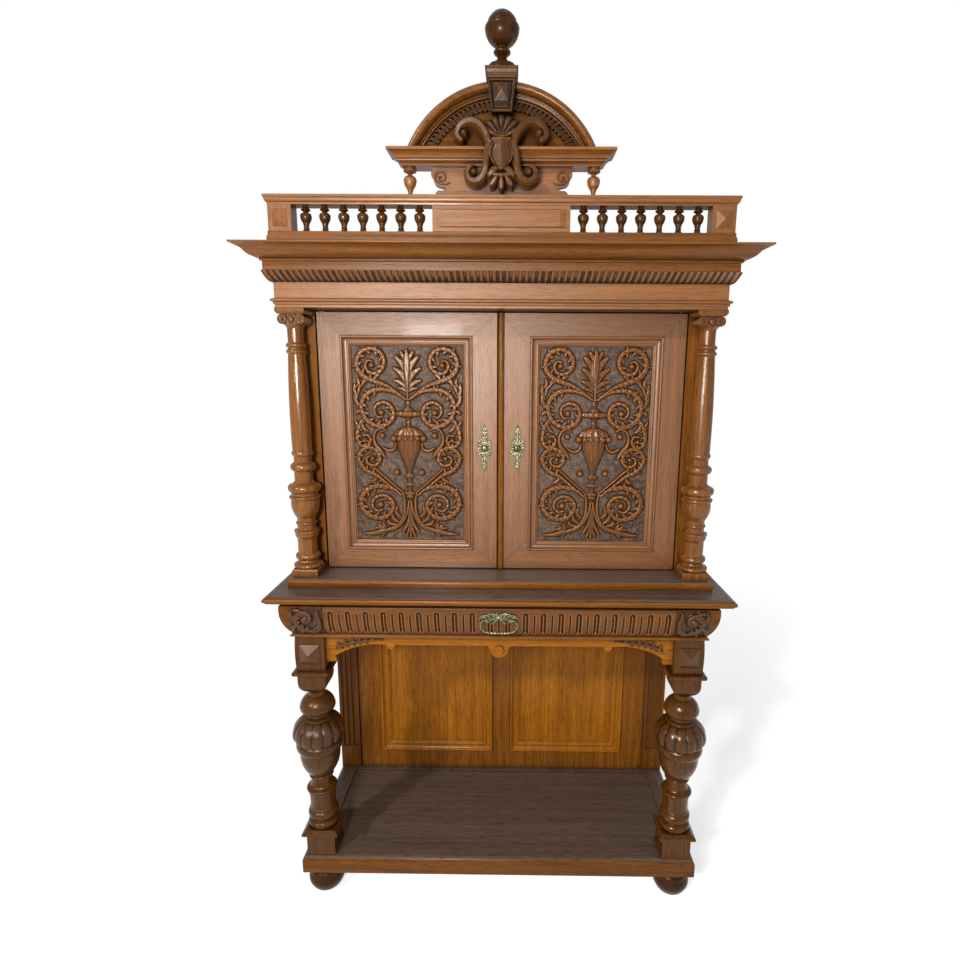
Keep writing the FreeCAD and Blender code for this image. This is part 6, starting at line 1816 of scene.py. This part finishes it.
class BUFFET_OT_tongues(bpy.types.Operator):
    """Carve the tongues along the frieze"""
    bl_idname = "buffet.tongues"
    bl_label = "Frieze tongues"

    def execute(self, context):
        make_tongues()
        return {"FINISHED"}


class BUFFET_OT_gadroons(bpy.types.Operator):
    """Carve the gadroons round the front legs and the points over them"""
    bl_idname = "buffet.gadroons"
    bl_label = "Leg gadroons"

    def execute(self, context):
        make_gadroons()
        make_die_points()
        return {"FINISHED"}


class BUFFET_OT_volutes(bpy.types.Operator):
    """Carve the scrolls of the columns' capitals"""
    bl_idname = "buffet.volutes"
    bl_label = "Capital scrolls"

    def execute(self, context):
        make_volutes()
        return {"FINISHED"}


class BUFFET_OT_crest(bpy.types.Operator):
    """Carve the cartouche, the leaf band and the board's scrolls of the crest"""
    bl_idname = "buffet.crest"
    bl_label = "Crest carvings"

    def execute(self, context):
        make_cartouche()
        make_keystone()
        make_arch()
        make_leaf_band()
        make_board_scrolls()
        return {"FINISHED"}


class BUFFET_OT_brasswork(bpy.types.Operator):
    """Cast the escutcheons, the pull and its bail"""
    bl_idname = "buffet.brasswork"
    bl_label = "Brasswork"

    def execute(self, context):
        make_escutcheons()
        make_pull()
        return {"FINISHED"}


class BUFFET_OT_studio(bpy.types.Operator):
    """Add the floor, the lamps and the camera"""
    bl_idname = "buffet.studio"
    bl_label = "Studio"

    def execute(self, context):
        make_studio()
        return {"FINISHED"}


STEPS = (BUFFET_OT_finish, BUFFET_OT_door_carvings, BUFFET_OT_drawer_front,
         BUFFET_OT_corner_carvings, BUFFET_OT_apron_sprays, BUFFET_OT_tongues,
         BUFFET_OT_gadroons, BUFFET_OT_volutes, BUFFET_OT_crest, BUFFET_OT_brasswork,
         BUFFET_OT_studio)


class BUFFET_PT_panel(bpy.types.Panel):
    """Lists the buffet's settings and its operators"""
    bl_label = "Buffet"
    bl_idname = "BUFFET_PT_panel"
    bl_space_type = "VIEW_3D"
    bl_region_type = "UI"
    bl_category = "Buffet"

    def draw(self, context):
        finish = context.scene.buffet_finish
        for name in finish.bl_rna.properties.keys():
            if name not in ("rna_type", "name"):
                self.layout.prop(finish, name)
        for step in STEPS:
            self.layout.operator(step.bl_idname)


CLASSES = (BuffetFinish,) + STEPS + (BUFFET_PT_panel,)


def register():
    for item in CLASSES:
        bpy.utils.register_class(item)
    bpy.types.Scene.buffet_finish = bpy.props.PointerProperty(type=BuffetFinish)


def unregister():
    del bpy.types.Scene.buffet_finish
    for item in reversed(CLASSES):
        bpy.utils.unregister_class(item)


def main():
    register()
    for step in STEPS:
        name = step.bl_idname.split(".")[1]
        getattr(bpy.ops.buffet, name)()


if __name__ == "__main__":
    main()
